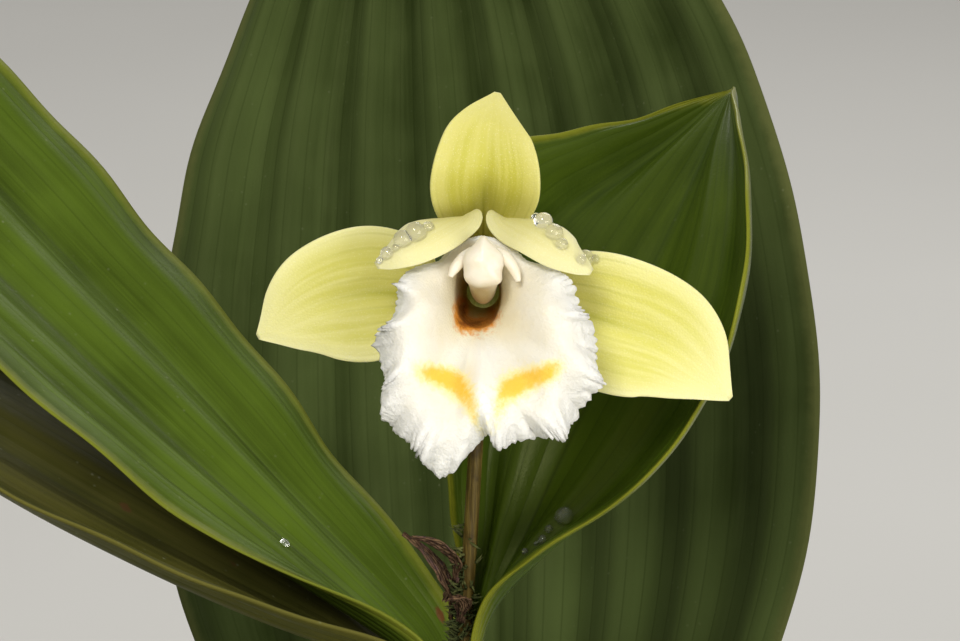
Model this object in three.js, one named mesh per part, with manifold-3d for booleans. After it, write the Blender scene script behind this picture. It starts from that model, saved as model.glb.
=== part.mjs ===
// A potted Sobralia bimaculata: leafy canes in a plain terracotta pot, one of them in flower.
// Millimetres and degrees, +Z up, origin at the middle of the pot's flat base.
import * as THREE from "three";
import { mergeVertices } from "three/addons/utils/BufferGeometryUtils.js";
import Module from "manifold-3d";

const wasm = await Module();
wasm.setup();

// Pot and planting mix
const POT = {
  height: 110, baseRadius: 42, bodyRadius: 54, rimRadius: 60, bandHeight: 22, bandStep: 3.5,
  wall: 5, floor: 7, sides: 44, drainRadius: 4.5, drainCircle: 22, drains: 3,
};
const SOIL = { top: 95, mound: 3, chips: 1.3, rings: 7, sides: 30, gap: 0.35 };
const RHIZOME = { depth: 84, radius: 4.2, sides: 8 };
const ROOTS = {
  radius: 1.7, reach: 15, drop: 40, bend: [[0, 0], [0.45, 0.3], [0.8, 0.65], [1, 1]], sides: 6, steps: 4,
};
const FIT_GAP = 0.35;

// Canes: foot (x, y) on the soil, lean of the top, height of the top, foot and top radius
const CANE_SIDES = 10;
const CANE_FOOT = RHIZOME.depth + RHIZOME.radius + FIT_GAP;
const CANES = {
  flowering: {
    x: -8, y: -6, lean: [7.4, 6.4], top: 300, foot: 2.3, tip: 0.72, neck: [250, 268], joints: [114, 154, 192],
  },
  back: {
    x: 6, y: 14, lean: [-5, 24], top: 224, foot: 2.3, tip: 1.5, neck: [190, 215], joints: [112, 150],
  },
  left: {
    x: -25, y: 8, lean: [-16, 8], top: 196, foot: 2.2, tip: 1.3, neck: [165, 190], joints: [134, 170],
  },
  right: {
    x: 22, y: -9, lean: [16, -6], top: 182, foot: 2.2, tip: 1.3, neck: [152, 176], joints: [129, 156],
  },
  young: {
    x: 2, y: -31, lean: [3, -6], top: 138, foot: 1.9, tip: 1.2, neck: [112, 130], joints: [110],
  },
};

// Leaves, from the base of each cane up. node is the height of the sheath's foot and heading the
// compass angle from +X toward +Y. open is how far the blade turns out from the cane near its foot,
// arch its further bend and sweep its sideways bend by the tip. roll turns it about its midrib.
const BLADE = { thickness: 0.7, sheathRows: 2, steps: 120, wrap: 2.35, tipHalfWidth: 0.4 };
const LEAF = {
  rows: 9, sheath: 14, length: 140, width: 50, open: 52, openAt: 0.09, arch: 32, archPower: 1.6, sweep: 0,
  roll: 0, rollTip: 0, peak: 0.42, channel: 0.6, tip: 0.35, folds: 4, pleat: 0.8,
};
const LEAVES = {
  leaf_flowering_1: {
    cane: "flowering", node: 120, heading: 205, length: 128, width: 44, open: 62, arch: 40,
  },
  leaf_flowering_2: {
    cane: "flowering", node: 160, heading: 338, length: 142, width: 50, open: 58, arch: 38,
  },
  leaf_flowering_3: {
    cane: "flowering", node: 198, heading: 222, length: 140, width: 48, open: 66, arch: 34,
  },
  leaf_flowering_4: {
    cane: "flowering", node: 252.6, sheath: 8.6, reach: 4.1, heading: 184, length: 148, width: 45,
    open: 64, openAt: 0.162, arch: -2, sweep: -58, roll: -9.5, rollTip: 15, peak: 0.415, channel: 0.69,
    pleat: 0.5,
  },
  leaf_flowering_5: {
    cane: "flowering", node: 260, sheath: 8, reach: 2.65, heading: 169, length: 150, width: 42, open: 53,
    openAt: 0.08, arch: 2, sweep: -27, roll: -7, rollTip: -45, peak: 0.43, channel: 0.5,
  },
  leaf_flowering_6: {
    cane: "flowering", node: 269.3, sheath: 5, reach: 1.55, heading: 15, length: 71, width: 48, open: 25,
    openAt: 0.16, arch: 21, archPower: 1.8, sweep: 54, roll: 53, rollTip: -37, peak: 0.6, channel: 1.5,
  },
  leaf_back_1: { cane: "back", node: 118, reach: 3.6, heading: 42, length: 130, width: 46, open: 60, arch: 42 },
  leaf_back_2: { cane: "back", node: 156, heading: 146, length: 138, width: 50, open: 60, arch: 36 },
  leaf_back_3: {
    cane: "back", node: 204, heading: 70, length: 180, width: 84, open: 15, openAt: 0.16, arch: 10,
    archPower: 2.2, sweep: 20, peak: 0.37, channel: 0.3, folds: 8, pleat: 0.9, rows: 11,
  },
  leaf_left_1: { cane: "left", node: 110, reach: 3.5, heading: 112, length: 112, width: 40, open: 62, arch: 40 },
  leaf_left_2: { cane: "left", node: 140, heading: 262, length: 118, width: 42, open: 60, arch: 44 },
  leaf_left_3: { cane: "left", node: 176, heading: 190, length: 120, width: 44, open: 40, arch: 46 },
  leaf_right_1: { cane: "right", node: 108, heading: 292, length: 108, width: 40, open: 64, arch: 40 },
  leaf_right_2: { cane: "right", node: 135, heading: 22, length: 116, width: 42, open: 60, arch: 40 },
  leaf_right_3: { cane: "right", node: 162, heading: 325, length: 116, width: 42, open: 36, arch: 52 },
  leaf_young_1: { cane: "young", node: 116, heading: 285, length: 84, width: 24, open: 32, arch: 36 },
};

// Dry bracts at the foot of the flower stalk
const BRACT = {
  cane: "flowering", rows: 5, sheath: 1, openAt: 0.3, wrap: 0.3, reach: 1.5, folds: 2, pleat: 0.12,
  arch: 40, peak: 0.4, channel: 0.5,
};
const BRACTS = {
  bract_1: { ...BRACT, node: 279.6, heading: 168, length: 9.5, width: 3, open: 24 },
  bract_2: { ...BRACT, node: 284, heading: 212, length: 7.5, width: 3.2, open: 40, rollTip: 40 },
  bract_3: { ...BRACT, node: 280, heading: 250, length: 6.5, width: 2.8, open: 50 },
};

// The flower faces out and up from the stalk. In its own frame x runs to the right across its face,
// y up across it and z out of it. Its parts spring from the receptacle at z = base.
const FLOWER = { x: 0, y: -16, z: 320, tilt: 70, base: -18.2, thickness: 0.6 };

// Sepals and petals: points of the midline, half width and section bend (radians) along it, the way
// the face looks, and the depth of the midline groove
const TEPALS = {
  dorsal_sepal: {
    spine: [[0, 3.7, -18.2], [0, 5.5, -13.6], [0.05, 8, -9.6], [0.25, 11.2, -6.4], [0.5, 15, -6.6],
      [1.35, 18.7, -9]],
    width: [[0, 1.9], [0.25, 3], [0.45, 4.8], [0.6, 5.45], [0.76, 4.3], [0.87, 2.6], [0.95, 1.2], [1, 0.3]],
    bend: [[0, 0.5], [0.4, 0.75], [0.75, 0.45], [1, 0.2]],
    facing: [[0, -1, 0.1], [0, -0.35, 1], [0, 0.1, 1]],
    groove: 0.7,
  },
  lateral_sepal_left: {
    spine: [[-3.2, -1.85, -18.2], [-4.6, -1.2, -13.4], [-7.4, -0.3, -10.6], [-11.4, -0.3, -9.2],
      [-16.2, -1.45, -9.2], [-21.4, -4.33, -11]],
    width: [[0, 1.9], [0.2, 3.6], [0.4, 5.8], [0.55, 6.5], [0.72, 5.5], [0.86, 3.4], [0.95, 1.4], [1, 0.3]],
    bend: [[0, 0.5], [0.3, 0.35], [0.7, 0.3], [1, 0.2]],
    facing: [[0.85, 0.5, 0.1], [0.25, 0, 1], [-0.1, 0, 1]],
    groove: 0.35,
  },
  lateral_sepal_right: {
    spine: [[3.2, -1.85, -18.2], [4.6, -1.4, -13.4], [7.4, -1.6, -10.6], [11.8, -2.9, -9.2],
      [17.6, -5.1, -9.2], [23.5, -10.2, -11]],
    width: [[0, 1.9], [0.18, 3.6], [0.36, 5.8], [0.5, 6.6], [0.68, 6], [0.82, 4.3], [0.93, 1.9], [1, 0.3]],
    bend: [[0, 0.5], [0.3, 0.35], [0.7, 0.3], [1, 0.2]],
    facing: [[-0.85, 0.5, 0.1], [-0.25, 0, 1], [0.1, 0, 1]],
    groove: 0.35,
  },
  petal_left: {
    spine: [[-2.4, 1.4, -18.2], [-2.45, 3.35, -12.5], [-2.2, 6.4, -6.3], [-4.4, 5.9, -2.2], [-7.2, 4.1, -0.7],
      [-9.9, 2.3, -1.2]],
    width: [[0, 1.3], [0.3, 1.5], [0.46, 1.9], [0.6, 2.6], [0.72, 2.9], [0.85, 2.4], [0.95, 1.3], [1, 0.4]],
    bend: [[0, 0.45], [0.4, 0.4], [0.7, 0.7], [1, 0.5]],
    facing: [[0.87, -0.5, 0], [0.75, -0.45, -0.5], [0.25, -0.55, -0.8], [0.1, -0.6, -0.79]],
    groove: 0.15,
  },
  petal_right: {
    spine: [[2.4, 1.4, -18.2], [2.45, 3.35, -12.5], [2.3, 6.3, -6.3], [4.8, 5.7, -2.2], [7.5, 3.7, -0.7],
      [10, 1.7, -1.2]],
    width: [[0, 1.3], [0.3, 1.5], [0.46, 1.9], [0.6, 2.6], [0.72, 2.9], [0.85, 2.4], [0.95, 1.3], [1, 0.4]],
    bend: [[0, 0.45], [0.4, 0.4], [0.7, 0.7], [1, 0.5]],
    facing: [[-0.87, -0.5, 0], [-0.75, -0.45, -0.5], [-0.25, -0.55, -0.8], [-0.1, -0.6, -0.79]],
    groove: 0.15,
  },
};
const TEPAL_GRID = { rows: 11, columns: 6 };

// The lip: a tube round the column that opens at the throat into a frilled blade. Angles run from
// straight down, positive toward +X; radii are measured from the throat's middle.
const LIP = {
  throatX: -0.45, throatY: -1.64, throatZ: -6, throatShare: 0.42, thickness: 0.6,
  rows: 11, columns: 50, crowd: 0.35,
  tube: [[0, 1.8], [0.4, 2], [0.8, 2.1], [1, 2.1]],
  roof: 3.4, roofWidth: 0.3, slope: 1.7, sideSlope: 4.5,
  margin: [
    [-180, 6.8], [-150, 6.4], [-135, 6.1], [-112, 8.1], [-92, 8.2], [-66, 10.7], [-50, 12], [-36, 14.2],
    [-24, 14.6], [-13, 16], [-6, 13], [0, 11.9], [9, 13.2], [17, 12.8], [33, 14.4], [45, 13], [57, 13.2],
    [68, 11.6], [82, 9.8], [95, 8.9], [110, 8.3], [135, 6.1], [150, 6.2], [180, 6.8],
  ],
  lift: [[0, 0.4], [60, 0.2], [100, -0.6], [140, -3], [180, -4.6]],
  crown: 2.2, ruffle: 1.1, ruffles: 13, keel: 0.7,
};

// The column: sections along its arched back (y, z, half width, half height), and the x, y, z and
// radius along each of its two side arms
const COLUMN = {
  sides: 14,
  sections: [
    [0, -17.6, 0.8, 0.7], [0.3, -13, 0.9, 1], [0.6, -9, 1.1, 1.6], [0.75, -6.4, 1.3, 2],
    [1.5, -4.4, 1.45, 2.2], [2.3, -2.7, 1.7, 2.2], [2.6, -1.3, 1.85, 2.4], [2.6, -0.2, 1.8, 2.3],
    [2.5, 0.5, 1.2, 1.6],
  ],
  peak: 0.55, corners: 0.35,
  arms: [
    [
      [-0.9, 3.5, -1.7, 0.62], [-1.8, 2.95, -1.2, 0.62], [-2.5, 2.2, -0.8, 0.56], [-2.95, 1.5, -0.6, 0.48],
      [-3.05, 1.25, -0.6, 0.25],
    ],
    [
      [1.2, 3.5, -1.7, 0.62], [2.15, 2.9, -1.2, 0.62], [2.8, 2.05, -0.8, 0.56], [3.15, 1.1, -0.6, 0.48],
      [3.2, 0.8, -0.6, 0.25],
    ],
  ],
  armSides: 8,
};

// The ovary: an S from the stalk's top to the back of the receptacle
const OVARY = {
  sides: 10,
  path: [
    [-0.6, 0.4, 300.6], [-0.58, 0.7, 303], [-0.4, 2.6, 307], [-0.1, 4.9, 310.8], [0, 4.4, 312.8],
    [0, 1.95, 313.7],
  ],
  steps: 12,
  radius: [[0, 0.72], [0.3, 0.95], [0.6, 1.35], [0.82, 1.7], [1, 4]],
};

const DEG = Math.PI / 180;
const GOLDEN_ANGLE = 137.5 * DEG;
const { smoothstep, lerp, clamp, seededRandom } = THREE.MathUtils;
const point = (x, y, z) => new THREE.Vector3(x, y, z);

// A fixed random value from -1 to 1 for each seed
const noise = (seed) => seededRandom(Math.floor(seed * 7919)) * 2 - 1;

// A smooth curve of values through [place, value] pairs
function track(pairs, place) {
  const last = pairs.length - 1;
  let i = 0;
  while (i < last - 1 && place > pairs[i + 1][0]) i += 1;
  const slope = (a, b) => (pairs[b][1] - pairs[a][1]) / (pairs[b][0] - pairs[a][0]);
  const span = pairs[i + 1][0] - pairs[i][0];
  const start = slope(Math.max(i - 1, 0), i + 1) * span;
  const end = slope(i, Math.min(i + 2, last)) * span;
  const u = clamp((place - pairs[i][0]) / span, 0, 1);
  const u2 = u * u;
  const u3 = u2 * u;
  return pairs[i][1] * (2 * u3 - 3 * u2 + 1) + start * (u3 - 2 * u2 + u)
    + pairs[i + 1][1] * (3 * u2 - 2 * u3) + end * (u3 - u2);
}

// The same for points, placed along the curve by the distance between them
function pathThrough(points) {
  const places = [0];
  for (let i = 1; i < points.length; i += 1) {
    places.push(places[i - 1] + Math.hypot(...points[i].map((value, axis) => value - points[i - 1][axis])));
  }
  const axes = points[0].map((_, axis) => points.map((p, i) => [places[i] / places.at(-1), p[axis]]));
  return (place) => axes.map((pairs) => track(pairs, place));
}

// Directions spread evenly along a midline
function directions(list, place) {
  const axes = [0, 1, 2].map((axis) => list.map((d, i) => [i / (list.length - 1), d[axis]]));
  return point(...axes.map((pairs) => track(pairs, place))).normalize();
}

function geometryFrom(vertices, triangles) {
  const geometry = new THREE.BufferGeometry();
  const positions = vertices.flatMap((p) => [p.x, p.y, p.z]);
  geometry.setAttribute("position", new THREE.Float32BufferAttribute(positions, 3));
  geometry.setIndex(triangles);
  return geometry;
}

// A closed blade of even thickness over a grid of points with normals, both faces split alike.
// In a grid that closes on itself, the last column joins the first.
function blade(points, normals, thickness, closed = false) {
  const rows = points.length;
  const columns = points[0].length;
  const vertices = [];
  for (const side of [1, -1]) {
    points.forEach((row, r) => row.forEach((p, c) => {
      vertices.push(p.clone().addScaledVector(normals[r][c], (side * thickness) / 2));
    }));
  }
  const under = rows * columns;
  const at = (r, c) => r * columns + (c % columns);
  const triangles = [];
  const quad = (a, b, c, d) => triangles.push(a, b, c, a, c, d);
  const spans = closed ? columns : columns - 1;
  for (let r = 0; r < rows - 1; r += 1) {
    for (let c = 0; c < spans; c += 1) {
      quad(at(r, c), at(r, c + 1), at(r + 1, c + 1), at(r + 1, c));
      const [a, b, d, e] = [at(r, c), at(r, c + 1), at(r + 1, c + 1), at(r + 1, c)].map((i) => i + under);
      triangles.push(a, d, b, a, e, d);
    }
    if (!closed) {
      quad(at(r, 0), at(r + 1, 0), at(r + 1, 0) + under, at(r, 0) + under);
      const edge = columns - 1;
      quad(at(r + 1, edge), at(r, edge), at(r, edge) + under, at(r + 1, edge) + under);
    }
  }
  for (let c = 0; c < spans; c += 1) {
    quad(at(0, c + 1), at(0, c), at(0, c) + under, at(0, c + 1) + under);
    quad(at(rows - 1, c), at(rows - 1, c + 1), at(rows - 1, c + 1) + under, at(rows - 1, c) + under);
  }
  return geometryFrom(vertices, triangles);
}

// A closed round body through rings of points, with a fan over each end
function loft(rings) {
  const sides = rings[0].length;
  const vertices = rings.flat();
  const triangles = [];
  for (let r = 0; r < rings.length - 1; r += 1) {
    for (let i = 0; i < sides; i += 1) {
      const [a, b] = [r * sides + i, r * sides + ((i + 1) % sides)];
      triangles.push(a, b, b + sides, a, b + sides, a + sides);
    }
  }
  for (const [ring, first] of [[rings[0], 0], [rings.at(-1), (rings.length - 1) * sides]]) {
    const middle = ring.reduce((sum, p) => sum.add(p), point(0, 0, 0)).divideScalar(sides);
    const hub = vertices.push(middle) - 1;
    for (let i = 0; i < sides; i += 1) {
      const [a, b] = [first + i, first + ((i + 1) % sides)];
      triangles.push(...(first === 0 ? [hub, b, a] : [hub, a, b]));
    }
  }
  return geometryFrom(vertices, triangles);
}

// A ring square to a direction, its first point on the side of the hint
function ring(middle, direction, hint, width, height, sides) {
  const across = hint.clone().addScaledVector(direction, -hint.dot(direction)).normalize();
  const up = direction.clone().cross(across);
  return Array.from({ length: sides }, (_, i) => {
    const turn = (i / sides) * 2 * Math.PI;
    return middle.clone().addScaledVector(across, Math.cos(turn) * width)
      .addScaledVector(up, Math.sin(turn) * height);
  });
}

// A tube of changing radius along a path, whose ends may run on past it
function tube(path, radius, steps, sides, hint, beyond = 0) {
  const rings = [];
  for (let i = 0; i <= steps; i += 1) {
    const t = i / steps;
    const ahead = point(...path(Math.min(t + 0.01, 1)));
    const direction = ahead.sub(point(...path(Math.max(t - 0.01, 0)))).normalize();
    const shift = (Number(i === steps) - Number(i === 0)) * beyond;
    const middle = point(...path(t)).addScaledVector(direction, shift);
    rings.push(ring(middle, direction, hint, radius(t), radius(t), sides));
  }
  return loft(rings);
}

function solidOf(geometry) {
  const bare = new THREE.BufferGeometry();
  bare.setAttribute("position", geometry.getAttribute("position").clone());
  bare.setIndex(geometry.index ? geometry.index.clone() : null);
  const merged = mergeVertices(bare, 1e-4);
  return new wasm.Manifold(new wasm.Mesh({
    numProp: 3,
    vertProperties: Float32Array.from(merged.getAttribute("position").array),
    triVerts: Uint32Array.from(merged.index.array),
  }));
}

function geometryOf(solid) {
  const mesh = solid.getMesh();
  const geometry = new THREE.BufferGeometry();
  geometry.setAttribute("position", new THREE.BufferAttribute(Float32Array.from(mesh.vertProperties), 3));
  geometry.setIndex(new THREE.BufferAttribute(Uint32Array.from(mesh.triVerts), 1));
  return geometry;
}

// Canes

function caneAxis(cane, z) {
  const share = Math.max(0, (z - SOIL.top) / (cane.top - SOIL.top)) ** 1.6;
  return point(cane.x + cane.lean[0] * share, cane.y + cane.lean[1] * share, z);
}

function caneDirection(cane, z) {
  return caneAxis(cane, z + 0.1).sub(caneAxis(cane, z)).normalize();
}

// A cane narrows slowly to its neck and quickly above it, with a slight swelling at each joint
function caneRadius(cane, z) {
  const body = lerp(cane.foot, cane.foot * 0.86, smoothstep(z, SOIL.top, cane.neck[0]));
  const neck = lerp(body, cane.tip, smoothstep(z, ...cane.neck));
  const swelling = cane.joints.reduce((sum, joint) => sum + Math.exp(-(((z - joint) / 2.5) ** 2)), 0);
  return neck * (1 + 0.14 * swelling);
}

function caneGeometry(cane) {
  const heights = [CANE_FOOT, SOIL.top + 2];
  for (const joint of cane.joints) heights.push(joint - 5, joint, joint + 5);
  const above = cane.joints.at(-1) + 5;
  const [low, high] = cane.neck;
  const upper = [(above + low) / 2, low, (low + high) / 2, high];
  heights.push(...upper.filter((z) => z > above + 2), (high + cane.top) / 2, cane.top);
  const rings = heights.map((z) => {
    const radius = caneRadius(cane, z);
    return ring(caneAxis(cane, z), caneDirection(cane, z), point(1, 0, 0), radius, radius, CANE_SIDES);
  });
  return loft(rings);
}

// Leaves: a sheath wrapped round the cane that opens into a pleated blade

function bladeWidth(leaf, t) {
  const power = Math.log(0.5) / Math.log(leaf.peak);
  const outline = Math.max(0, Math.sin(Math.PI * t ** power)) ** 0.95;
  return (leaf.width / 2) * outline * (1 - leaf.tip * smoothstep(t, 0.55, 1));
}

// Straight folds across the blade: -1 in the valleys, +1 on the ridges
function pleatAt(v, folds) {
  const x = (v * folds) / 2;
  return 4 * Math.abs(x - Math.floor(x + 0.5)) - 1;
}

// The frames of the midrib, from the sheath's mouth to the tip
function midrib(cane, leaf) {
  const mouth = leaf.node + leaf.sheath;
  const outward = point(Math.cos(leaf.heading * DEG), Math.sin(leaf.heading * DEG), 0);
  const along = caneDirection(cane, mouth);
  outward.addScaledVector(along, -outward.dot(along)).normalize();
  const place = caneAxis(cane, mouth).addScaledVector(outward, leaf.reach);
  const normal = outward.negate();
  const pitch = (t) => DEG * (leaf.open * smoothstep(t, 0, leaf.openAt) + leaf.arch * t ** leaf.archPower);
  const swing = (t) => DEG * leaf.sweep * t ** 1.3;
  const frames = [{ place: place.clone(), along: along.clone(), normal: normal.clone() }];
  for (let i = 0; i < BLADE.steps; i += 1) {
    const [t0, t1] = [i / BLADE.steps, (i + 1) / BLADE.steps];
    const across = along.clone().cross(normal);
    along.applyAxisAngle(across, pitch(t0) - pitch(t1));
    normal.applyAxisAngle(across, pitch(t0) - pitch(t1));
    along.applyAxisAngle(normal, swing(t1) - swing(t0));
    place.addScaledVector(along, leaf.length / BLADE.steps);
    frames.push({ place: place.clone(), along: along.clone(), normal: normal.clone() });
  }
  return frames;
}

// One row across a leaf: its section is an arc of the given half angle, with its relief added
function section(frame, halfWidth, halfAngle, columns, relief) {
  const across = frame.along.clone().cross(frame.normal);
  const curve = halfAngle / halfWidth;
  const row = { points: [], normals: [] };
  for (let c = 0; c <= columns; c += 1) {
    const v = (2 * c) / columns - 1;
    const turn = curve * v * halfWidth;
    const rise = (1 - Math.cos(turn)) / curve + relief(v);
    row.points.push(frame.place.clone().addScaledVector(across, Math.sin(turn) / curve)
      .addScaledVector(frame.normal, rise));
    row.normals.push(frame.normal.clone().multiplyScalar(Math.cos(turn))
      .addScaledVector(across, -Math.sin(turn)));
  }
  return row;
}

function leafGeometry(form) {
  const cane = CANES[form.cane];
  const leaf = { ...LEAF, reach: caneRadius(cane, form.node) + 1.15, wrap: BLADE.wrap, ...form };
  const columns = 2 * leaf.folds;
  const mouthAngle = Math.min(1.5, leaf.wrap);
  const rows = [];
  for (let i = 0; i < BLADE.sheathRows; i += 1) {
    const t = i / BLADE.sheathRows;
    const z = leaf.node + leaf.sheath * t;
    const along = caneDirection(cane, z);
    const outward = point(Math.cos(leaf.heading * DEG), Math.sin(leaf.heading * DEG), 0);
    outward.addScaledVector(along, -outward.dot(along)).normalize();
    const place = caneAxis(cane, z).addScaledVector(outward, leaf.reach);
    const angle = lerp(leaf.wrap, mouthAngle, smoothstep(t, 0.45, 1));
    const frame = { place, along, normal: outward.negate() };
    rows.push(section(frame, angle * leaf.reach, angle, columns, () => 0));
  }
  const frames = midrib(cane, leaf);
  for (let i = 0; i <= leaf.rows; i += 1) {
    const t = (i / leaf.rows) ** 1.15;
    const frame = frames[Math.round(t * BLADE.steps)];
    const roll = DEG * (leaf.roll * smoothstep(t, 0.02, 0.35) + leaf.rollTip * smoothstep(t, 0.35, 1));
    const normal = frame.normal.clone().applyAxisAngle(frame.along, roll);
    const foot = mouthAngle * leaf.reach * (1 - t);
    const halfWidth = Math.max(Math.hypot(foot, bladeWidth(leaf, t)), BLADE.tipHalfWidth);
    const angle = lerp(mouthAngle, leaf.channel, smoothstep(t, 0, 0.2));
    const fade = smoothstep(t, 0.03, 0.25) * (1 - smoothstep(t, 0.8, 1));
    const relief = (v) => fade * leaf.pleat * pleatAt(v, leaf.folds);
    rows.push(section({ ...frame, normal }, halfWidth, angle, columns, relief));
  }
  return blade(rows.map((row) => row.points), rows.map((row) => row.normals), BLADE.thickness);
}

// The flower

function tepalGeometry(form) {
  const spine = pathThrough(form.spine);
  const rows = [];
  for (let i = 0; i <= TEPAL_GRID.rows; i += 1) {
    const t = i / TEPAL_GRID.rows;
    const along = point(...spine(Math.min(t + 0.01, 1)));
    along.sub(point(...spine(Math.max(t - 0.01, 0)))).normalize();
    const normal = directions(form.facing, t);
    normal.addScaledVector(along, -normal.dot(along)).normalize();
    const halfWidth = track(form.width, t);
    const groove = form.groove * Math.sin(Math.PI * Math.min(1, 1.2 * t));
    const relief = (v) => -groove * Math.exp(-((v / 0.2) ** 2));
    rows.push(section({ place: point(...spine(t)), along, normal }, halfWidth, track(form.bend, t),
      TEPAL_GRID.columns, relief));
  }
  return blade(rows.map((row) => row.points), rows.map((row) => row.normals), FLOWER.thickness);
}

// A point of the lip's middle surface at an angle round it and a share of the way to its margin
function lipPoint(angle, share) {
  const turn = angle * DEG;
  const roof = LIP.roof * smoothstep((1 - Math.cos(turn)) / 2, 0.35, 1);
  if (share <= LIP.throatShare) {
    const u = share / LIP.throatShare;
    const radius = track(LIP.tube, u);
    const rise = roof * smoothstep(u, 0.1, 1);
    const shift = smoothstep(u, 0, 1);
    const x = LIP.throatX * shift + Math.sin(turn) * (radius + LIP.roofWidth * rise);
    const y = LIP.throatY * shift - Math.cos(turn) * (radius + rise);
    return point(x, y, lerp(FLOWER.base, LIP.throatZ, u));
  }
  const w = (share - LIP.throatShare) / (1 - LIP.throatShare);
  const throat = track(LIP.tube, 1);
  const margin = track(LIP.margin, angle);
  const lower = 1 - smoothstep(Math.abs(angle), 85, 130);
  const slope = lerp(LIP.slope, LIP.sideSlope, smoothstep(Math.abs(angle), 30, 75));
  const rise = lerp(LIP.throatZ, track(LIP.lift, Math.abs(angle)), 1 - (1 - w) ** slope);
  const crown = LIP.crown * lower * Math.sin(Math.PI * w ** 1.3);
  const frill = LIP.ruffle * lower * smoothstep(w, 0.5, 1) * Math.sin(turn * LIP.ruffles + 0.8);
  const keel = LIP.keel * Math.exp(-((angle / 9) ** 2)) * Math.sin(Math.PI * w);
  return point(
    LIP.throatX * (1 - w) + Math.sin(turn) * lerp(throat + LIP.roofWidth * roof, margin, w),
    LIP.throatY - Math.cos(turn) * lerp(throat + roof, margin, w),
    rise + crown + frill + keel,
  );
}

function lipGeometry() {
  const points = [];
  const normals = [];
  const step = 0.004;
  for (let r = 0; r <= LIP.rows; r += 1) {
    const share = clamp(r / LIP.rows, step, 1 - step);
    points.push([]);
    normals.push([]);
    for (let c = 0; c < LIP.columns; c += 1) {
      const even = (2 * c) / LIP.columns - 1;
      const angle = 180 * (even - (LIP.crowd / Math.PI) * Math.sin(Math.PI * even));
      points[r].push(lipPoint(angle, share));
      const outward = lipPoint(angle, share + step).sub(lipPoint(angle, share - step));
      const round = lipPoint(angle + 0.5, share).sub(lipPoint(angle - 0.5, share));
      normals[r].push(round.cross(outward).normalize());
    }
  }
  return blade(points, normals, LIP.thickness, true);
}

function columnGeometry() {
  const rings = [];
  for (const [y, z, width, height] of COLUMN.sections) {
    rings.push(Array.from({ length: COLUMN.sides }, (_, i) => {
      const turn = (i / COLUMN.sides) * 2 * Math.PI;
      const peak = COLUMN.peak * smoothstep(Math.sin(turn), 0.2, 0.95);
      const corners = COLUMN.corners * smoothstep(-Math.sin(turn), 0.3, 0.9);
      const shaped = 1 + (corners - peak) * smoothstep(z, -5, -2);
      return point(Math.cos(turn) * width * shaped, y + Math.sin(turn) * height, z);
    }));
  }
  let solid = solidOf(loft(rings));
  for (const arm of COLUMN.arms) {
    const path = pathThrough(arm.map((p) => p.slice(0, 3)));
    const radius = (t) => track(arm.map((p, i) => [i / (arm.length - 1), p[3]]), t);
    solid = solid.add(solidOf(tube(path, radius, 6, COLUMN.armSides, point(0, 0, 1))));
  }
  return geometryOf(solid);
}

function ovaryGeometry() {
  const radius = (t) => track(OVARY.radius, t);
  return tube(pathThrough(OVARY.path), radius, OVARY.steps, OVARY.sides, point(1, 0, 0));
}

// Pot, planting mix and the creeping stem that joins the canes

function lathe(profile, sides) {
  const geometry = new THREE.LatheGeometry(profile.map(([r, z]) => new THREE.Vector2(r, z)), sides);
  geometry.rotateX(Math.PI / 2);
  return geometry;
}

function potGeometry() {
  const bandFoot = POT.height - POT.bandHeight;
  const innerFoot = POT.baseRadius - POT.wall;
  const innerTop = POT.rimRadius - POT.wall;
  const profile = [
    [0, 0], [POT.baseRadius - 1.5, 0], [POT.baseRadius, 1.5], [POT.bodyRadius, bandFoot - 1.5],
    [POT.bodyRadius + POT.bandStep - 1, bandFoot], [POT.bodyRadius + POT.bandStep, bandFoot + 1.5],
    [POT.rimRadius, POT.height - 2.5], [POT.rimRadius - 1.2, POT.height - 0.5],
    [POT.rimRadius - 2.5, POT.height], [innerTop + 1, POT.height], [innerTop, POT.height - 1],
    [innerFoot, POT.floor], [0, POT.floor],
  ];
  let solid = solidOf(lathe(profile, POT.sides));
  for (let i = 0; i < POT.drains; i += 1) {
    const turn = ((i + 0.5) / POT.drains) * 2 * Math.PI;
    const drain = new THREE.CylinderGeometry(POT.drainRadius, POT.drainRadius, POT.floor * 3, 16);
    drain.rotateX(Math.PI / 2);
    drain.translate(Math.cos(turn) * POT.drainCircle, Math.sin(turn) * POT.drainCircle, 0);
    solid = solid.subtract(solidOf(drain));
  }
  return geometryOf(solid);
}

// The pot's inner radius at a height
function potBore(z) {
  const share = (z - POT.floor) / (POT.height - 1 - POT.floor);
  return lerp(POT.baseRadius - POT.wall, POT.rimRadius - POT.wall, share);
}

function soilHeight(radius, turn, rim) {
  const mound = SOIL.mound * (1 - (radius / rim) ** 2);
  const rough = noise(radius * 3.1 + turn * 11.7) * SOIL.chips * (1 - smoothstep(radius, rim * 0.9, rim));
  return SOIL.top + mound + rough;
}

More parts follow.
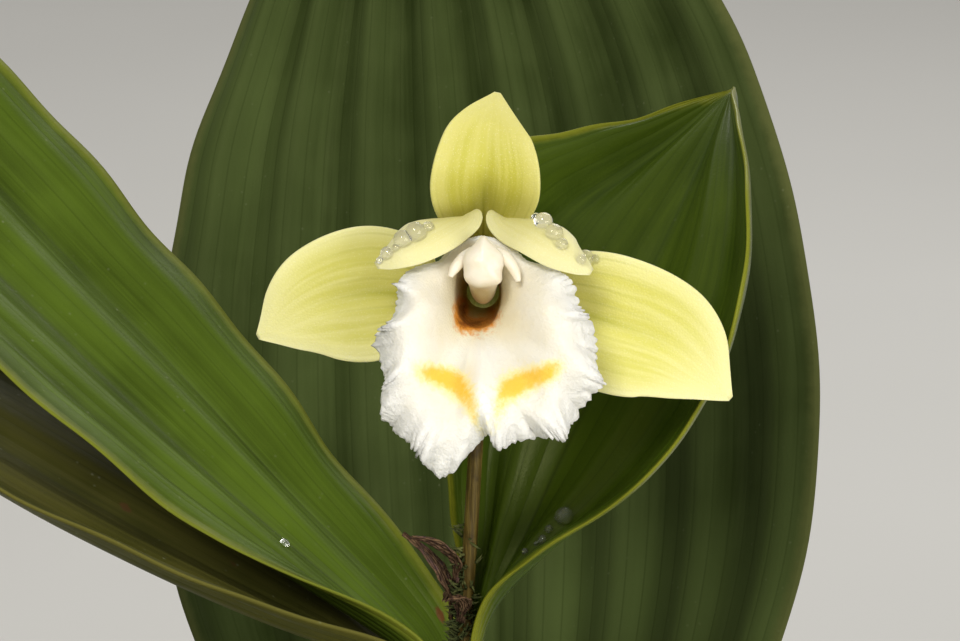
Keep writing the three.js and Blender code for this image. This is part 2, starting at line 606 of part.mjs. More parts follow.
function soilBody() {
  const rim = potBore(SOIL.top) - SOIL.gap;
  const foot = potBore(POT.floor + SOIL.gap) - SOIL.gap;
  const vertices = [point(0, 0, SOIL.top + SOIL.mound)];
  const triangles = [];
  const at = (r, i) => 1 + (r - 1) * SOIL.sides + (i % SOIL.sides);
  for (let r = 1; r <= SOIL.rings + 1; r += 1) {
    for (let i = 0; i < SOIL.sides; i += 1) {
      const turn = (i / SOIL.sides) * 2 * Math.PI;
      const radius = r > SOIL.rings ? foot : (rim * r) / SOIL.rings;
      const z = r > SOIL.rings ? POT.floor + SOIL.gap : soilHeight(radius, turn, rim);
      vertices.push(point(Math.cos(turn) * radius, Math.sin(turn) * radius, z));
      if (r > 1) {
        triangles.push(at(r - 1, i), at(r, i), at(r, i + 1), at(r - 1, i), at(r, i + 1), at(r - 1, i + 1));
      } else {
        triangles.push(0, at(1, i), at(1, i + 1));
      }
    }
  }
  const hub = vertices.push(point(0, 0, POT.floor + SOIL.gap)) - 1;
  for (let i = 0; i < SOIL.sides; i += 1) {
    triangles.push(hub, at(SOIL.rings + 1, i + 1), at(SOIL.rings + 1, i));
  }
  return solidOf(geometryFrom(vertices, triangles));
}

// The creeping stem runs from cane to cane below the mix, in swollen lengths, with roots spreading
// from it. A swell makes it the hollow that it lies in.
function rhizomeBody(swell) {
  const { left, flowering, back, right, young } = CANES;
  const lengths = [[left, flowering], [flowering, back], [back, right], [flowering, young]];
  const girth = (t) => RHIZOME.radius * (0.82 + 0.18 * Math.sin(Math.PI * t)) + swell;
  const beyond = RHIZOME.radius * 0.4 + swell;
  const solids = lengths.map(([from, to]) => {
    const path = pathThrough([[from.x, from.y, RHIZOME.depth], [to.x, to.y, RHIZOME.depth]]);
    return solidOf(tube(path, girth, 3, RHIZOME.sides, point(0, 0, 1), beyond));
  });
  Object.values(CANES).forEach((cane, i) => {
    const turn = GOLDEN_ANGLE * i;
    const route = ROOTS.bend.map(([out, down]) => [
      cane.x * (1 - 0.3 * out) + Math.cos(turn) * ROOTS.reach * out,
      cane.y * (1 - 0.3 * out) + Math.sin(turn) * ROOTS.reach * out,
      RHIZOME.depth - 1 - ROOTS.drop * down]);
    const taper = (t) => ROOTS.radius * (1 - 0.4 * t) + swell;
    solids.push(solidOf(tube(pathThrough(route), taper, ROOTS.steps, ROOTS.sides, point(1, 0, 0), swell)));
  });
  return solids.reduce((body, solid) => body.add(solid));
}

function soilGeometry() {
  let solid = soilBody().subtract(rhizomeBody(FIT_GAP));
  for (const cane of Object.values(CANES)) {
    const radius = caneRadius(cane, SOIL.top) + 2 * FIT_GAP;
    const depth = 2 * (SOIL.top - RHIZOME.depth + SOIL.mound);
    const bore = new THREE.CylinderGeometry(radius, radius, depth, CANE_SIDES);
    bore.rotateX(Math.PI / 2);
    bore.translate(cane.x, cane.y, RHIZOME.depth + depth / 2);
    solid = solid.subtract(solidOf(bore));
  }
  return geometryOf(solid);
}

// Materials

const finish = (color, roughness) => new THREE.MeshStandardMaterial({ color, roughness, metalness: 0 });
const FINISH = {
  terracotta: finish(0xb5683f, 0.85),
  mix: finish(0x3a281b, 0.95),
  root: finish(0x8a7a55, 0.8),
  cane: finish(0x7d7a35, 0.55),
  leaf: finish(0x35591d, 0.35),
  darkLeaf: finish(0x24391b, 0.45),
  bract: finish(0x6b4a35, 0.8),
  ovary: finish(0x9aa04a, 0.5),
  sepal: finish(0xd3db72, 0.5),
  petal: finish(0xe3e6a6, 0.5),
  lip: finish(0xfaf6ea, 0.55),
  column: finish(0xfffbf0, 0.4),
};

// Assembly

const plant = new THREE.Group();

function place(name, geometry, material, parent = plant) {
  const mesh = new THREE.Mesh(geometry, material);
  mesh.name = name;
  parent.add(mesh);
  return mesh;
}

place("pot", potGeometry(), FINISH.terracotta);
place("soil", soilGeometry(), FINISH.mix);
place("rhizome", geometryOf(rhizomeBody(0)), FINISH.root);
for (const [name, cane] of Object.entries(CANES)) place(`cane_${name}`, caneGeometry(cane), FINISH.cane);
for (const [name, form] of Object.entries(LEAVES)) {
  place(name, leafGeometry(form), form.cane === "back" ? FINISH.darkLeaf : FINISH.leaf);
}
for (const [name, form] of Object.entries(BRACTS)) place(name, leafGeometry(form), FINISH.bract);
place("ovary", ovaryGeometry(), FINISH.ovary);

const flower = new THREE.Group();
flower.position.set(FLOWER.x, FLOWER.y, FLOWER.z);
flower.rotation.x = FLOWER.tilt * DEG;
plant.add(flower);
for (const [name, form] of Object.entries(TEPALS)) {
  place(name, tepalGeometry(form), name.startsWith("petal") ? FINISH.petal : FINISH.sepal, flower);
}
place("lip", lipGeometry(), FINISH.lip, flower);
place("column", columnGeometry(), FINISH.column, flower);

export default plant;
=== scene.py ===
"""A potted Sobralia bimaculata in flower: its fine surfaces, materials, light and camera."""
import math

import bmesh
import bpy
import numpy as np
from mathutils import Matrix, Vector, noise


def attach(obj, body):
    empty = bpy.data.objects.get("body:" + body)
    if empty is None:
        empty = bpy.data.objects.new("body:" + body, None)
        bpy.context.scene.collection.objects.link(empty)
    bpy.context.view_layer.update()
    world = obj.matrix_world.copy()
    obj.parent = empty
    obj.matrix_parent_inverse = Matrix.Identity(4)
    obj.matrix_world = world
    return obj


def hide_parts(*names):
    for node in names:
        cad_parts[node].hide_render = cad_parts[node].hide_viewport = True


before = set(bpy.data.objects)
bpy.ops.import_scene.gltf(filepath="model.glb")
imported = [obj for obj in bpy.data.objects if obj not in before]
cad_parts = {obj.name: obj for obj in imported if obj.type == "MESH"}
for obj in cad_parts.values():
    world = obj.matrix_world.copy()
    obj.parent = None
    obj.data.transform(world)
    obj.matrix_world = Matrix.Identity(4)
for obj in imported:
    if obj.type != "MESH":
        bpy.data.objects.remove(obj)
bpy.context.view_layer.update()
MM = 0.001

# Forms, in millimetres, as in the CAD source

DEG = math.pi / 180
SOIL_TOP = 95
FIT_GAP = 0.35
RHIZOME = dict(depth=84, radius=4.2)
CANE_FOOT = RHIZOME["depth"] + RHIZOME["radius"] + FIT_GAP
CANES = {
    "flowering": dict(x=-8, y=-6, lean=(7.4, 6.4), top=300, foot=2.3, tip=0.72, neck=(250, 268),
                      joints=(114, 154, 192)),
    "back": dict(x=6, y=14, lean=(-5, 24), top=224, foot=2.3, tip=1.5, neck=(190, 215),
                 joints=(112, 150)),
    "left": dict(x=-25, y=8, lean=(-16, 8), top=196, foot=2.2, tip=1.3, neck=(165, 190),
                 joints=(134, 170)),
    "right": dict(x=22, y=-9, lean=(16, -6), top=182, foot=2.2, tip=1.3, neck=(152, 176),
                  joints=(129, 156)),
    "young": dict(x=2, y=-31, lean=(3, -6), top=138, foot=1.9, tip=1.2, neck=(112, 130), joints=(110,)),
}
STEPS = 120
LEAF = dict(sheath=14, length=140, width=50, open=52, open_at=0.09, arch=32, arch_power=1.6, sweep=0,
            roll=0, roll_tip=0, peak=0.42, channel=0.6, tip=0.35, folds=4, pleat=0.8, wrap=2.35,
            clearance=1.15, mouth=1.5, tip_half_width=0.3, undulation=0, undulations=(17, 41))
LEAVES_OF = {
    "flowering": [
        dict(node=120, heading=205, length=128, width=44, open=62, arch=40),
        dict(node=160, heading=338, length=142, width=50, open=58, arch=38),
        dict(node=198, heading=222, length=140, width=48, open=66, arch=34),
        dict(node=252.6, sheath=8.6, reach=4.1, heading=184, length=148, width=45, open=64, open_at=0.162,
             arch=-2, sweep=-58, roll=-9.5, roll_tip=15, peak=0.415, channel=0.69, pleat=0.5),
        dict(node=260, sheath=8, reach=2.65, heading=169, length=150, width=42, open=53, open_at=0.08,
             arch=2, sweep=-27, roll=-7, roll_tip=-45, peak=0.43, channel=0.5),
        dict(node=269.3, sheath=5, reach=1.55, heading=15, length=71, width=48, open=25, open_at=0.16,
             arch=21, arch_power=1.8, sweep=54, roll=53, roll_tip=-37, peak=0.6, channel=1.5),
    ],
    "back": [
        dict(node=118, reach=3.6, heading=42, length=130, width=46, open=60, arch=42),
        dict(node=156, heading=146, length=138, width=50, open=60, arch=36),
        dict(node=204, heading=70, length=180, width=84, open=15, open_at=0.16, arch=10, arch_power=2.2,
             sweep=20, peak=0.37, channel=0.3, folds=8, pleat=0.9),
    ],
    "left": [
        dict(node=110, reach=3.5, heading=112, length=112, width=40, open=62, arch=40),
        dict(node=140, heading=262, length=118, width=42, open=60, arch=44),
        dict(node=176, heading=190, length=120, width=44, open=40, arch=46),
    ],
    "right": [
        dict(node=108, heading=292, length=108, width=40, open=64, arch=40),
        dict(node=135, heading=22, length=116, width=42, open=60, arch=40),
        dict(node=162, heading=325, length=116, width=42, open=36, arch=52),
    ],
    "young": [dict(node=116, heading=285, length=84, width=24, open=32, arch=36)],
}
LEAVES = {f"leaf_{cane}_{number}": {**LEAF, "cane": cane, "undulation": 0.5, **form}
          for cane, forms in LEAVES_OF.items() for number, form in enumerate(forms, 1)}
BRACT = dict(LEAF, cane="flowering", sheath=1, open_at=0.3, wrap=0.3, reach=1.5, folds=2, pleat=0.12,
             arch=40, peak=0.4, channel=0.5)
BRACTS = {
    "bract_1": dict(BRACT, node=279.6, heading=168, length=9.5, width=3, open=24),
    "bract_2": dict(BRACT, node=284, heading=212, length=7.5, width=3.2, open=40, roll_tip=40),
    "bract_3": dict(BRACT, node=280, heading=250, length=6.5, width=2.8, open=50),
}


def smoothstep(x, low, high):
    share = np.clip((np.asarray(x, float) - low) / (high - low), 0, 1)
    return share * share * (3 - 2 * share)


def lerp(a, b, share):
    return a + (b - a) * share


def unit(vectors):
    vectors = np.asarray(vectors, float)
    return vectors / np.linalg.norm(vectors, axis=-1, keepdims=True)


def track(pairs, places):
    """A smooth curve of values through (place, value) pairs."""
    at = np.array([pair[0] for pair in pairs], float)
    value = np.array([pair[1] for pair in pairs], float)
    places = np.asarray(places, float)
    last = len(pairs) - 1
    i = np.clip(np.searchsorted(at, places, side="left") - 1, 0, last - 1)
    span = at[i + 1] - at[i]
    before = np.maximum(i - 1, 0)
    after = np.minimum(i + 2, last)
    start = (value[i + 1] - value[before]) / (at[i + 1] - at[before]) * span
    end = (value[after] - value[i]) / (at[after] - at[i]) * span
    u = np.clip((places - at[i]) / span, 0, 1)
    return (value[i] * (2 * u**3 - 3 * u**2 + 1) + start * (u**3 - 2 * u**2 + u)
            + value[i + 1] * (3 * u**2 - 2 * u**3) + end * (u**3 - u**2))


def path_through(points):
    """A smooth path through points, placed along it by the distance between them."""
    points = np.array(points, float)
    chords = np.linalg.norm(np.diff(points, axis=0), axis=1)
    at = np.concatenate([[0], np.cumsum(chords)]) / chords.sum()
    pairs = [list(zip(at, points[:, axis])) for axis in range(points.shape[1])]
    return lambda places: np.stack([track(pair, places) for pair in pairs], axis=-1)


def directions(listed, places):
    """Directions spread evenly along a midline."""
    at = np.linspace(0, 1, len(listed))
    axes = [list(zip(at, [d[axis] for d in listed])) for axis in range(3)]
    return unit(np.stack([track(pairs, places) for pairs in axes], axis=-1))


def square_to(vectors, along):
    """Unit vectors made square to another direction."""
    return unit(vectors - (vectors * along).sum(-1, keepdims=True) * along)


def turned(vectors, axis, angle):
    """Vectors turned about a unit axis by an angle."""
    return (vectors * np.cos(angle) + np.cross(axis, vectors) * np.sin(angle)
            + axis * (vectors * axis).sum(-1, keepdims=True) * (1 - np.cos(angle)))


def cane_axis(cane, z):
    z = np.asarray(z, float)
    share = np.maximum(0, (z - SOIL_TOP) / (cane["top"] - SOIL_TOP)) ** 1.6
    return np.stack([cane["x"] + cane["lean"][0] * share, cane["y"] + cane["lean"][1] * share, z], axis=-1)


def cane_direction(cane, z):
    return unit(cane_axis(cane, np.asarray(z, float) + 0.1) - cane_axis(cane, z))


def cane_radius(cane, z):
    body = lerp(cane["foot"], cane["foot"] * 0.86, smoothstep(z, SOIL_TOP, cane["neck"][0]))
    neck = lerp(body, cane["tip"], smoothstep(z, *cane["neck"]))
    swelling = sum(np.exp(-(((z - joint) / 2.5) ** 2)) for joint in cane["joints"])
    return neck * (1 + 0.14 * swelling)


def blade_width(leaf, t):
    power = math.log(0.5) / math.log(leaf["peak"])
    outline = np.maximum(0, np.sin(np.pi * t**power)) ** 0.95
    return leaf["width"] / 2 * outline * (1 - leaf["tip"] * smoothstep(t, 0.55, 1))


def midrib(cane, leaf):
    """Places, directions and normals along a leaf's midrib, from its sheath's mouth to its tip."""
    mouth = leaf["node"] + leaf["sheath"]
    along = cane_direction(cane, mouth)
    heading = leaf["heading"] * DEG
    outward = square_to(np.array([math.cos(heading), math.sin(heading), 0]), along)
    place = cane_axis(cane, mouth) + outward * leaf["reach"]
    normal = -outward
    t = np.arange(STEPS + 1) / STEPS
    pitch = DEG * (leaf["open"] * smoothstep(t, 0, leaf["open_at"]) + leaf["arch"] * t ** leaf["arch_power"])
    swing = DEG * leaf["sweep"] * t**1.3
    frames = [(place, along, normal)]
    for i in range(STEPS):
        across = np.cross(along, normal)
        along = turned(along, across, pitch[i] - pitch[i + 1])
        normal = turned(normal, across, pitch[i] - pitch[i + 1])
        along = turned(along, normal, swing[i + 1] - swing[i])
        place = place + along * leaf["length"] / STEPS
        frames.append((place, along, normal))
    return [np.array(column) for column in zip(*frames)]


def sections(place, along, normal, half_width, half_angle, v, relief):
    """Rows across a midline: each is an arc of a half angle, with relief added. v runs from -1 to 1."""
    across = np.cross(along, normal)[:, None, :]
    curve = np.maximum(half_angle / half_width, 1e-9)[:, None]
    turn = half_angle[:, None] * v[None, :]
    rise = (1 - np.cos(turn)) / curve + relief
    points = place[:, None, :] + across * (np.sin(turn) / curve)[..., None]
    points = points + normal[:, None, :] * rise[..., None]
    normals = normal[:, None, :] * np.cos(turn)[..., None] - across * np.sin(turn)[..., None]
    return points, normals


def pleat_at(v, folds):
    x = v * folds / 2
    return 4 * np.abs(x - np.floor(x + 0.5)) - 1


def leaf_grid(form, rows, columns, sheath_rows, seed=0.0):
    """Points, normals and places of a leaf: a sheath round the cane that opens into a pleated blade."""
    cane = CANES[form["cane"]]
    leaf = {"reach": float(cane_radius(cane, form["node"])) + form["clearance"], **form}
    mouth_angle = min(leaf["mouth"], leaf["wrap"])
    v = np.linspace(-1, 1, columns)
    t = np.arange(sheath_rows) / sheath_rows
    z = leaf["node"] + leaf["sheath"] * t
    along = cane_direction(cane, z)
    heading = leaf["heading"] * DEG
    outward = square_to(np.array([math.cos(heading), math.sin(heading), 0]), along)
    angle = lerp(leaf["wrap"], mouth_angle, smoothstep(t, 0.45, 1))
    foot = sections(cane_axis(cane, z) + outward * leaf["reach"], along, -outward, angle * leaf["reach"],
                    angle, v, np.zeros((sheath_rows, columns)))
    step = STEPS // rows
    t_blade = np.arange(0, STEPS + 1, step) / STEPS
    place, along, normal = [column[::step] for column in midrib(cane, leaf)]
    roll = leaf["roll"] * smoothstep(t_blade, 0.02, 0.35) + leaf["roll_tip"] * smoothstep(t_blade, 0.35, 1)
    normal = turned(normal, along, (DEG * roll)[:, None])
    half = np.hypot(mouth_angle * leaf["reach"] * (1 - t_blade), blade_width(leaf, t_blade))
    half = np.maximum(half, leaf["tip_half_width"])
    angle_blade = lerp(mouth_angle, leaf["channel"], smoothstep(t_blade, 0, 0.2))
    fade = smoothstep(t_blade, 0.03, 0.25) * (1 - smoothstep(t_blade, 0.8, 1))
    fold = pleat_at(v, leaf["folds"])
    fold = 0.8 * np.sin(fold * math.pi / 2) + 0.2 * fold
    slow, quick = leaf["undulations"]
    wave = np.sin(t_blade * slow + seed)[:, None] * np.sin(t_blade * quick + 3 * seed)[:, None] * v**4
    relief = (fade * leaf["pleat"])[:, None] * fold
    relief = relief + leaf["undulation"] * fade[:, None] * wave * np.sign(v)
    blade = sections(place, along, normal, half, angle_blade, v, relief)
    points, normals = [np.concatenate(parts) for parts in zip(foot, blade)]
    whole = np.concatenate([(t - 1) * leaf["sheath"] / leaf["length"], t_blade])
    places = dict(
        along=np.repeat(whole[:, None], columns, 1),
        across=np.repeat(v[None, :], len(points), 0),
        ridge=np.concatenate([np.zeros((sheath_rows, columns)), fade[:, None] * fold]),
        inset=np.concatenate([(angle * leaf["reach"])[:, None], half[:, None]]) * (1 - np.abs(v)),
    )
    return points, normals, places


# The flower stands in its own frame: x to the right across its face, y up across it, z out of it
FLOWER_AT = np.array([0, -16, 320.0])
FLOWER_TILT = 70 * DEG
FLOWER_BASE = -18.2
SEPAL = dict(bend=[(0, 0.5), (0.3, 0.35), (0.7, 0.3), (1, 0.2)], groove=0.35)
PETAL = dict(
    width=[(0, 1.3), (0.3, 1.5), (0.46, 1.9), (0.6, 2.6), (0.72, 2.9), (0.85, 2.4), (0.95, 1.3), (1, 0.4)],
    bend=[(0, 0.45), (0.4, 0.4), (0.7, 0.7), (1, 0.5)], groove=0.15,
)
TEPALS = {
    "dorsal_sepal": dict(
        spine=[(0, 3.7, -18.2), (0, 5.5, -13.6), (0.05, 8, -9.6), (0.25, 11.2, -6.4), (0.5, 15, -6.6),
               (1.35, 18.7, -9)],
        width=[(0, 1.9), (0.25, 3), (0.45, 4.8), (0.6, 5.45), (0.76, 4.3), (0.87, 2.6), (0.95, 1.2),
               (1, 0.3)],
        bend=[(0, 0.5), (0.4, 0.75), (0.75, 0.45), (1, 0.2)],
        facing=[(0, -1, 0.1), (0, -0.35, 1), (0, 0.1, 1)],
        groove=0.7,
    ),
    "lateral_sepal_left": dict(
        SEPAL,
        spine=[(-3.2, -1.85, -18.2), (-4.6, -1.2, -13.4), (-7.4, -0.3, -10.6), (-11.4, -0.3, -9.2),
               (-16.2, -1.45, -9.2), (-21.4, -4.33, -11)],
        width=[(0, 1.9), (0.2, 3.6), (0.4, 5.8), (0.55, 6.5), (0.72, 5.5), (0.86, 3.4), (0.95, 1.4),
               (1, 0.3)],
        facing=[(0.85, 0.5, 0.1), (0.25, 0, 1), (-0.1, 0, 1)],
    ),
    "lateral_sepal_right": dict(
        SEPAL,
        spine=[(3.2, -1.85, -18.2), (4.6, -1.4, -13.4), (7.4, -1.6, -10.6), (11.8, -2.9, -9.2),
               (17.6, -5.1, -9.2), (23.5, -10.2, -11)],
        width=[(0, 1.9), (0.18, 3.6), (0.36, 5.8), (0.5, 6.6), (0.68, 6), (0.82, 4.3), (0.93, 1.9),
               (1, 0.3)],
        facing=[(-0.85, 0.5, 0.1), (-0.25, 0, 1), (0.1, 0, 1)],
    ),
    "petal_left": dict(
        PETAL,
        spine=[(-2.4, 1.4, -18.2), (-2.45, 3.35, -12.5), (-2.2, 6.4, -6.3), (-4.4, 5.9, -2.2),
               (-7.2, 4.1, -0.7), (-9.9, 2.3, -1.2)],
        facing=[(0.87, -0.5, 0), (0.75, -0.45, -0.5), (0.25, -0.55, -0.8), (0.1, -0.6, -0.79)],
    ),
    "petal_right": dict(
        PETAL,
        spine=[(2.4, 1.4, -18.2), (2.45, 3.35, -12.5), (2.3, 6.3, -6.3), (4.8, 5.7, -2.2),
               (7.5, 3.7, -0.7), (10, 1.7, -1.2)],
        facing=[(-0.87, -0.5, 0), (-0.75, -0.45, -0.5), (-0.25, -0.55, -0.8), (-0.1, -0.6, -0.79)],
    ),
}
LIP = dict(
    throat_x=-0.45, throat_y=-1.64, throat_z=-6, throat_share=0.42,
    tube=[(0, 1.8), (0.4, 2), (0.8, 2.1), (1, 2.1)], roof=3.4, roof_width=0.3,
    margin=[(-180, 6.8), (-150, 6.4), (-135, 6.1), (-112, 8.1), (-92, 8.2), (-66, 10.7), (-50, 12),
            (-36, 14.2), (-24, 14.6), (-13, 16), (-6, 13), (0, 11.9), (9, 13.2), (17, 12.8), (33, 14.4),
            (45, 13), (57, 13.2), (68, 11.6), (82, 9.8), (95, 8.9), (110, 8.3), (135, 6.1), (150, 6.2),
            (180, 6.8)],
    lift=[(0, 0.4), (60, 0.2), (100, -0.6), (140, -3), (180, -4.6)],
    crown=2.2, slope=1.7, side_slope=4.5, keel=0.7,
)
# The lip's broad ruffles, and two finer kinds of frill upon them by height, start, number and wander.
# Wander and teeth are drawn from noise, whose frequency and seed are given.
RUFFLE = dict(height=1.1, start=0.55, count=13, turn=0.8, lean=3.2)
FRILLS = [(0.5, 0.68, 31, 5), (0.32, 0.8, 71, 9)]
WANDER = (5, 2.0)
TEETH = dict(broad=(23, 4.0), fine=(60, 9.0), patches=(11, 2.0), depth=0.9)
COLUMN = dict(
    sections=[(0, -17.6, 0.8, 0.7), (0.3, -13, 0.9, 1), (0.6, -9, 1.1, 1.6), (0.75, -6.4, 1.3, 2),
              (1.5, -4.4, 1.45, 2.2), (2.3, -2.7, 1.7, 2.2), (2.6, -1.3, 1.85, 2.4), (2.6, -0.2, 1.8, 2.3),
              (2.5, 0.5, 1.2, 1.6)],
    end=(2.4, 0.8, 0.3, 0.4), peak=0.55, corners=0.35, scallops=(0.05, 7),
    arms=[
        [(-0.9, 3.5, -1.7, 0.62), (-1.8, 2.95, -1.2, 0.62), (-2.5, 2.2, -0.8, 0.56),
         (-2.95, 1.5, -0.6, 0.48), (-3.05, 1.25, -0.6, 0.25)],
        [(1.2, 3.5, -1.7, 0.62), (2.15, 2.9, -1.2, 0.62), (2.8, 2.05, -0.8, 0.56), (3.15, 1.1, -0.6, 0.48),
         (3.2, 0.8, -0.6, 0.25)],
    ],
)
OVARY = dict(
    path=[(-0.6, 0.4, 300.6), (-0.58, 0.7, 303), (-0.4, 2.6, 307), (-0.1, 4.9, 310.8), (0, 4.4, 312.8),
          (0, 1.95, 313.7)],
    radius=[(0, 0.72), (0.3, 0.95), (0.6, 1.35), (0.82, 1.7), (1, 4)],
)


def from_flower(points):
    """Points of the flower's frame in the plant's."""
    turn = np.array([
        [1, 0, 0],
        [0, math.cos(FLOWER_TILT), -math.sin(FLOWER_TILT)],
        [0, math.sin(FLOWER_TILT), math.cos(FLOWER_TILT)],
    ])
    return points @ turn.T + FLOWER_AT


def grid_normals(points, closed=False):
    """Normals of a grid of points, on the side from which its rows run up and its columns right."""
    if closed:
        around = np.roll(points, -1, axis=1) - np.roll(points, 1, axis=1)
    else:
        around = np.gradient(points, axis=1)
    return unit(np.cross(around, np.gradient(points, axis=0)))


def tepal_grid(form, rows, columns, crumple=0.0, seed=0.0):
    t = np.linspace(0, 1, rows)
    v = np.linspace(-1, 1, columns)
    spine = path_through(form["spine"])
    along = unit(spine(np.minimum(t + 0.01, 1)) - spine(np.maximum(t - 0.01, 0)))
    normal = square_to(directions(form["facing"], t), along)
    half = track(form["width"], t)
    groove = form["groove"] * np.sin(math.pi * np.minimum(1, 1.2 * t))
    ripple = np.sin(7 * t + seed)[:, None] * np.sin(19 * t + 2 * seed)[:, None] * v**2 * np.sign(v)
    relief = -groove[:, None] * np.exp(-((v / 0.2) ** 2)) + crumple * ripple * np.sin(math.pi * t)[:, None]
    points, _ = sections(spine(t), along, normal, half, track(form["bend"], t), v, relief)
    points = from_flower(points)
    places = dict(
        along=np.repeat(t[:, None], columns, 1),
        across=np.repeat(v[None, :], rows, 0),
        inset=half[:, None] * (1 - np.abs(v)),
    )
    return points, grid_normals(points), places


def scatter(values, frequency, seed):
    """Smooth noise from -1 to 1 along an array of places."""
    flat = np.ravel(values) * frequency
    found = [noise.noise(Vector((place, seed, 0.37 * seed))) for place in flat]
    return np.reshape(found, np.shape(values))


def round_noise(turn, frequency, seed):
    """Smooth noise from -1 to 1 round a circle."""
    found = [noise.noise(Vector((math.cos(a) * frequency, math.sin(a) * frequency, seed))) for a in turn]
    return np.array(found)


def lip_grid(rows, columns):
    """The lip: a tube round the column that opens at the throat into a frilled blade. Angles run from
    straight down, positive toward +X."""
    share = np.linspace(0.004, 0.996, rows)[:, None]
    even = np.linspace(-1, 1, columns, endpoint=False)
    angle = 180 * (even - 0.35 / math.pi * np.sin(math.pi * even))
    turn = angle * DEG
    upward = (1 - np.cos(turn)) / 2
    roof = LIP["roof"] * smoothstep(upward, 0.35, 1)
    u = np.clip(share / LIP["throat_share"], 0, 1)
    tube_roof = roof * smoothstep(u, 0.1, 1)
    tube_radius = track(LIP["tube"], u)
    tube_middle = smoothstep(u, 0, 1)
    tube_z = lerp(FLOWER_BASE, LIP["throat_z"], u)
    w = np.clip((share - LIP["throat_share"]) / (1 - LIP["throat_share"]), 0, 1)
    spread = 1 - smoothstep(np.abs(angle), 85, 130)
    beside = smoothstep(np.abs(angle), 30, 75)
    edge = smoothstep(w, 0.75, 1)
    ruck = round_noise(turn, *WANDER)
    fine_teeth = round_noise(turn, *TEETH["fine"]) * round_noise(turn, *TEETH["patches"])
    teeth = np.abs(round_noise(turn, *TEETH["broad"])) + 2 * np.abs(fine_teeth)
    toothed = (0.15 + 0.85 * spread) * edge * (teeth - 0.35) * TEETH["depth"]
    margin = track(LIP["margin"], angle) + toothed
    throat = track(LIP["tube"], 1)
    wide = lerp(throat + LIP["roof_width"] * roof, margin, w)
    tall = lerp(throat + roof, margin, w)
    lift = track(LIP["lift"], np.abs(angle))
    crown = LIP["crown"] * spread * np.sin(math.pi * w**1.3)
    steep = lerp(LIP["slope"], LIP["side_slope"], beside)
    rise = lerp(LIP["throat_z"], lift, 1 - (1 - w) ** steep) + crown
    ruffled = turn * RUFFLE["count"] + RUFFLE["turn"]
    frill = RUFFLE["height"] * smoothstep(w, RUFFLE["start"], 1) * np.sin(ruffled)
    for height, start, count, wander in FRILLS:
        frill = frill + height * smoothstep(w, start, 1) * np.sin(turn * count + wander * ruck)
    keel = LIP["keel"] * np.exp(-((angle / 9) ** 2)) * np.sin(math.pi * w)
    lean = RUFFLE["lean"] * DEG * spread * smoothstep(w, 0.6, 1) * np.cos(ruffled)
    outside = share > LIP["throat_share"]
    wide = np.where(outside, wide, tube_radius + LIP["roof_width"] * tube_roof)
    tall = np.where(outside, tall, tube_radius + tube_roof)
    shift = np.where(outside, 1.0, tube_middle)
    x = LIP["throat_x"] * shift * (1 - w) + np.sin(turn + lean) * wide
    y = LIP["throat_y"] * shift - np.cos(turn + lean) * tall
    z = np.where(outside, rise + spread * frill + keel, tube_z)
    points = from_flower(np.stack([x, y, z + 0 * x], axis=-1))
    normals = grid_normals(points, closed=True)
    places = dict(along=share + 0 * angle, across=angle[None, :] / 180 + 0 * share,
                  inset=(1 - w) * margin)
    return points, normals, places


def circle(sides):
    return np.arange(sides) / sides * 2 * math.pi


def ring(middle, direction, hint, width, height, sides):
    across = square_to(np.asarray(hint, float), direction)
    up = np.cross(direction, across)
    turn = circle(sides)
    return middle + np.cos(turn)[:, None] * across * width + np.sin(turn)[:, None] * up * height


def tube_rings(path, radius, steps, sides, hint, ribs=0, rib=0.0):
    """Rings of a tube of changing radius along a path, with lengthwise ribs if asked."""
    t = np.linspace(0, 1, steps + 1)
    direction = unit(path(np.minimum(t + 0.01, 1)) - path(np.maximum(t - 0.01, 0)))
    swell = 1 + rib * np.cos(ribs * circle(sides))[:, None]
    rings = []
    for place, along, girth in zip(path(t), direction, radius(t)):
        rings.append(place + (ring(place, along, hint, girth, girth, sides) - place) * swell)
    return np.array(rings)


def column_rings(sides, steps):
    """Rings of the column's arched body, blunt at the front, and of its two side arms."""
    listed = COLUMN["sections"] + [COLUMN["end"]]
    z = np.array([section[1] for section in listed])
    at = (z - z[0]) / (z[-1] - z[0])
    tracks = [list(zip(at, [section[axis] for section in listed])) for axis in (0, 2, 3)]
    share = 1 - (1 - np.linspace(0, 1, steps)) ** 1.6
    y, width, height = [track(pairs, share) for pairs in tracks]
    z = lerp(z[0], z[-1], share)
    turn = circle(sides)
    peak = COLUMN["peak"] * smoothstep(np.sin(turn), 0.2, 0.95)
    corners = COLUMN["corners"] * smoothstep(-np.sin(turn), 0.3, 0.9)
    pointed = 1 + (corners - peak) * smoothstep(z, -5, -2)[:, None]
    depth, count = COLUMN["scallops"]
    scallop = 1 + depth * np.cos(count * turn) * (np.sin(turn) < 0) * smoothstep(z, -1.6, 0.4)[:, None]
    body = np.stack([
        np.cos(turn) * width[:, None] * pointed * scallop,
        y[:, None] + np.sin(turn) * height[:, None] * scallop,
        z[:, None] + 0 * turn,
    ], axis=-1)
    parts = [from_flower(body)]
    for arm in COLUMN["arms"]:
        path = path_through([part[:3] for part in arm])
        girth = [(i / (len(arm) - 1), part[3]) for i, part in enumerate(arm)]
        parts.append(from_flower(tube_rings(path, lambda t, g=girth: track(g, t), 24, 20, (0, 0, 1))))
    return parts


# Meshes

def linked(name, data):
    """A new object in the scene."""
    item = bpy.data.objects.new(name, data)
    bpy.context.scene.collection.objects.link(item)
    return item


def linked_form(name, form):
    """A new object in the scene from a form that needs no more edits."""
    mesh = bpy.data.meshes.new(name)
    form.to_mesh(mesh)
    form.free()
    return linked(name, mesh)


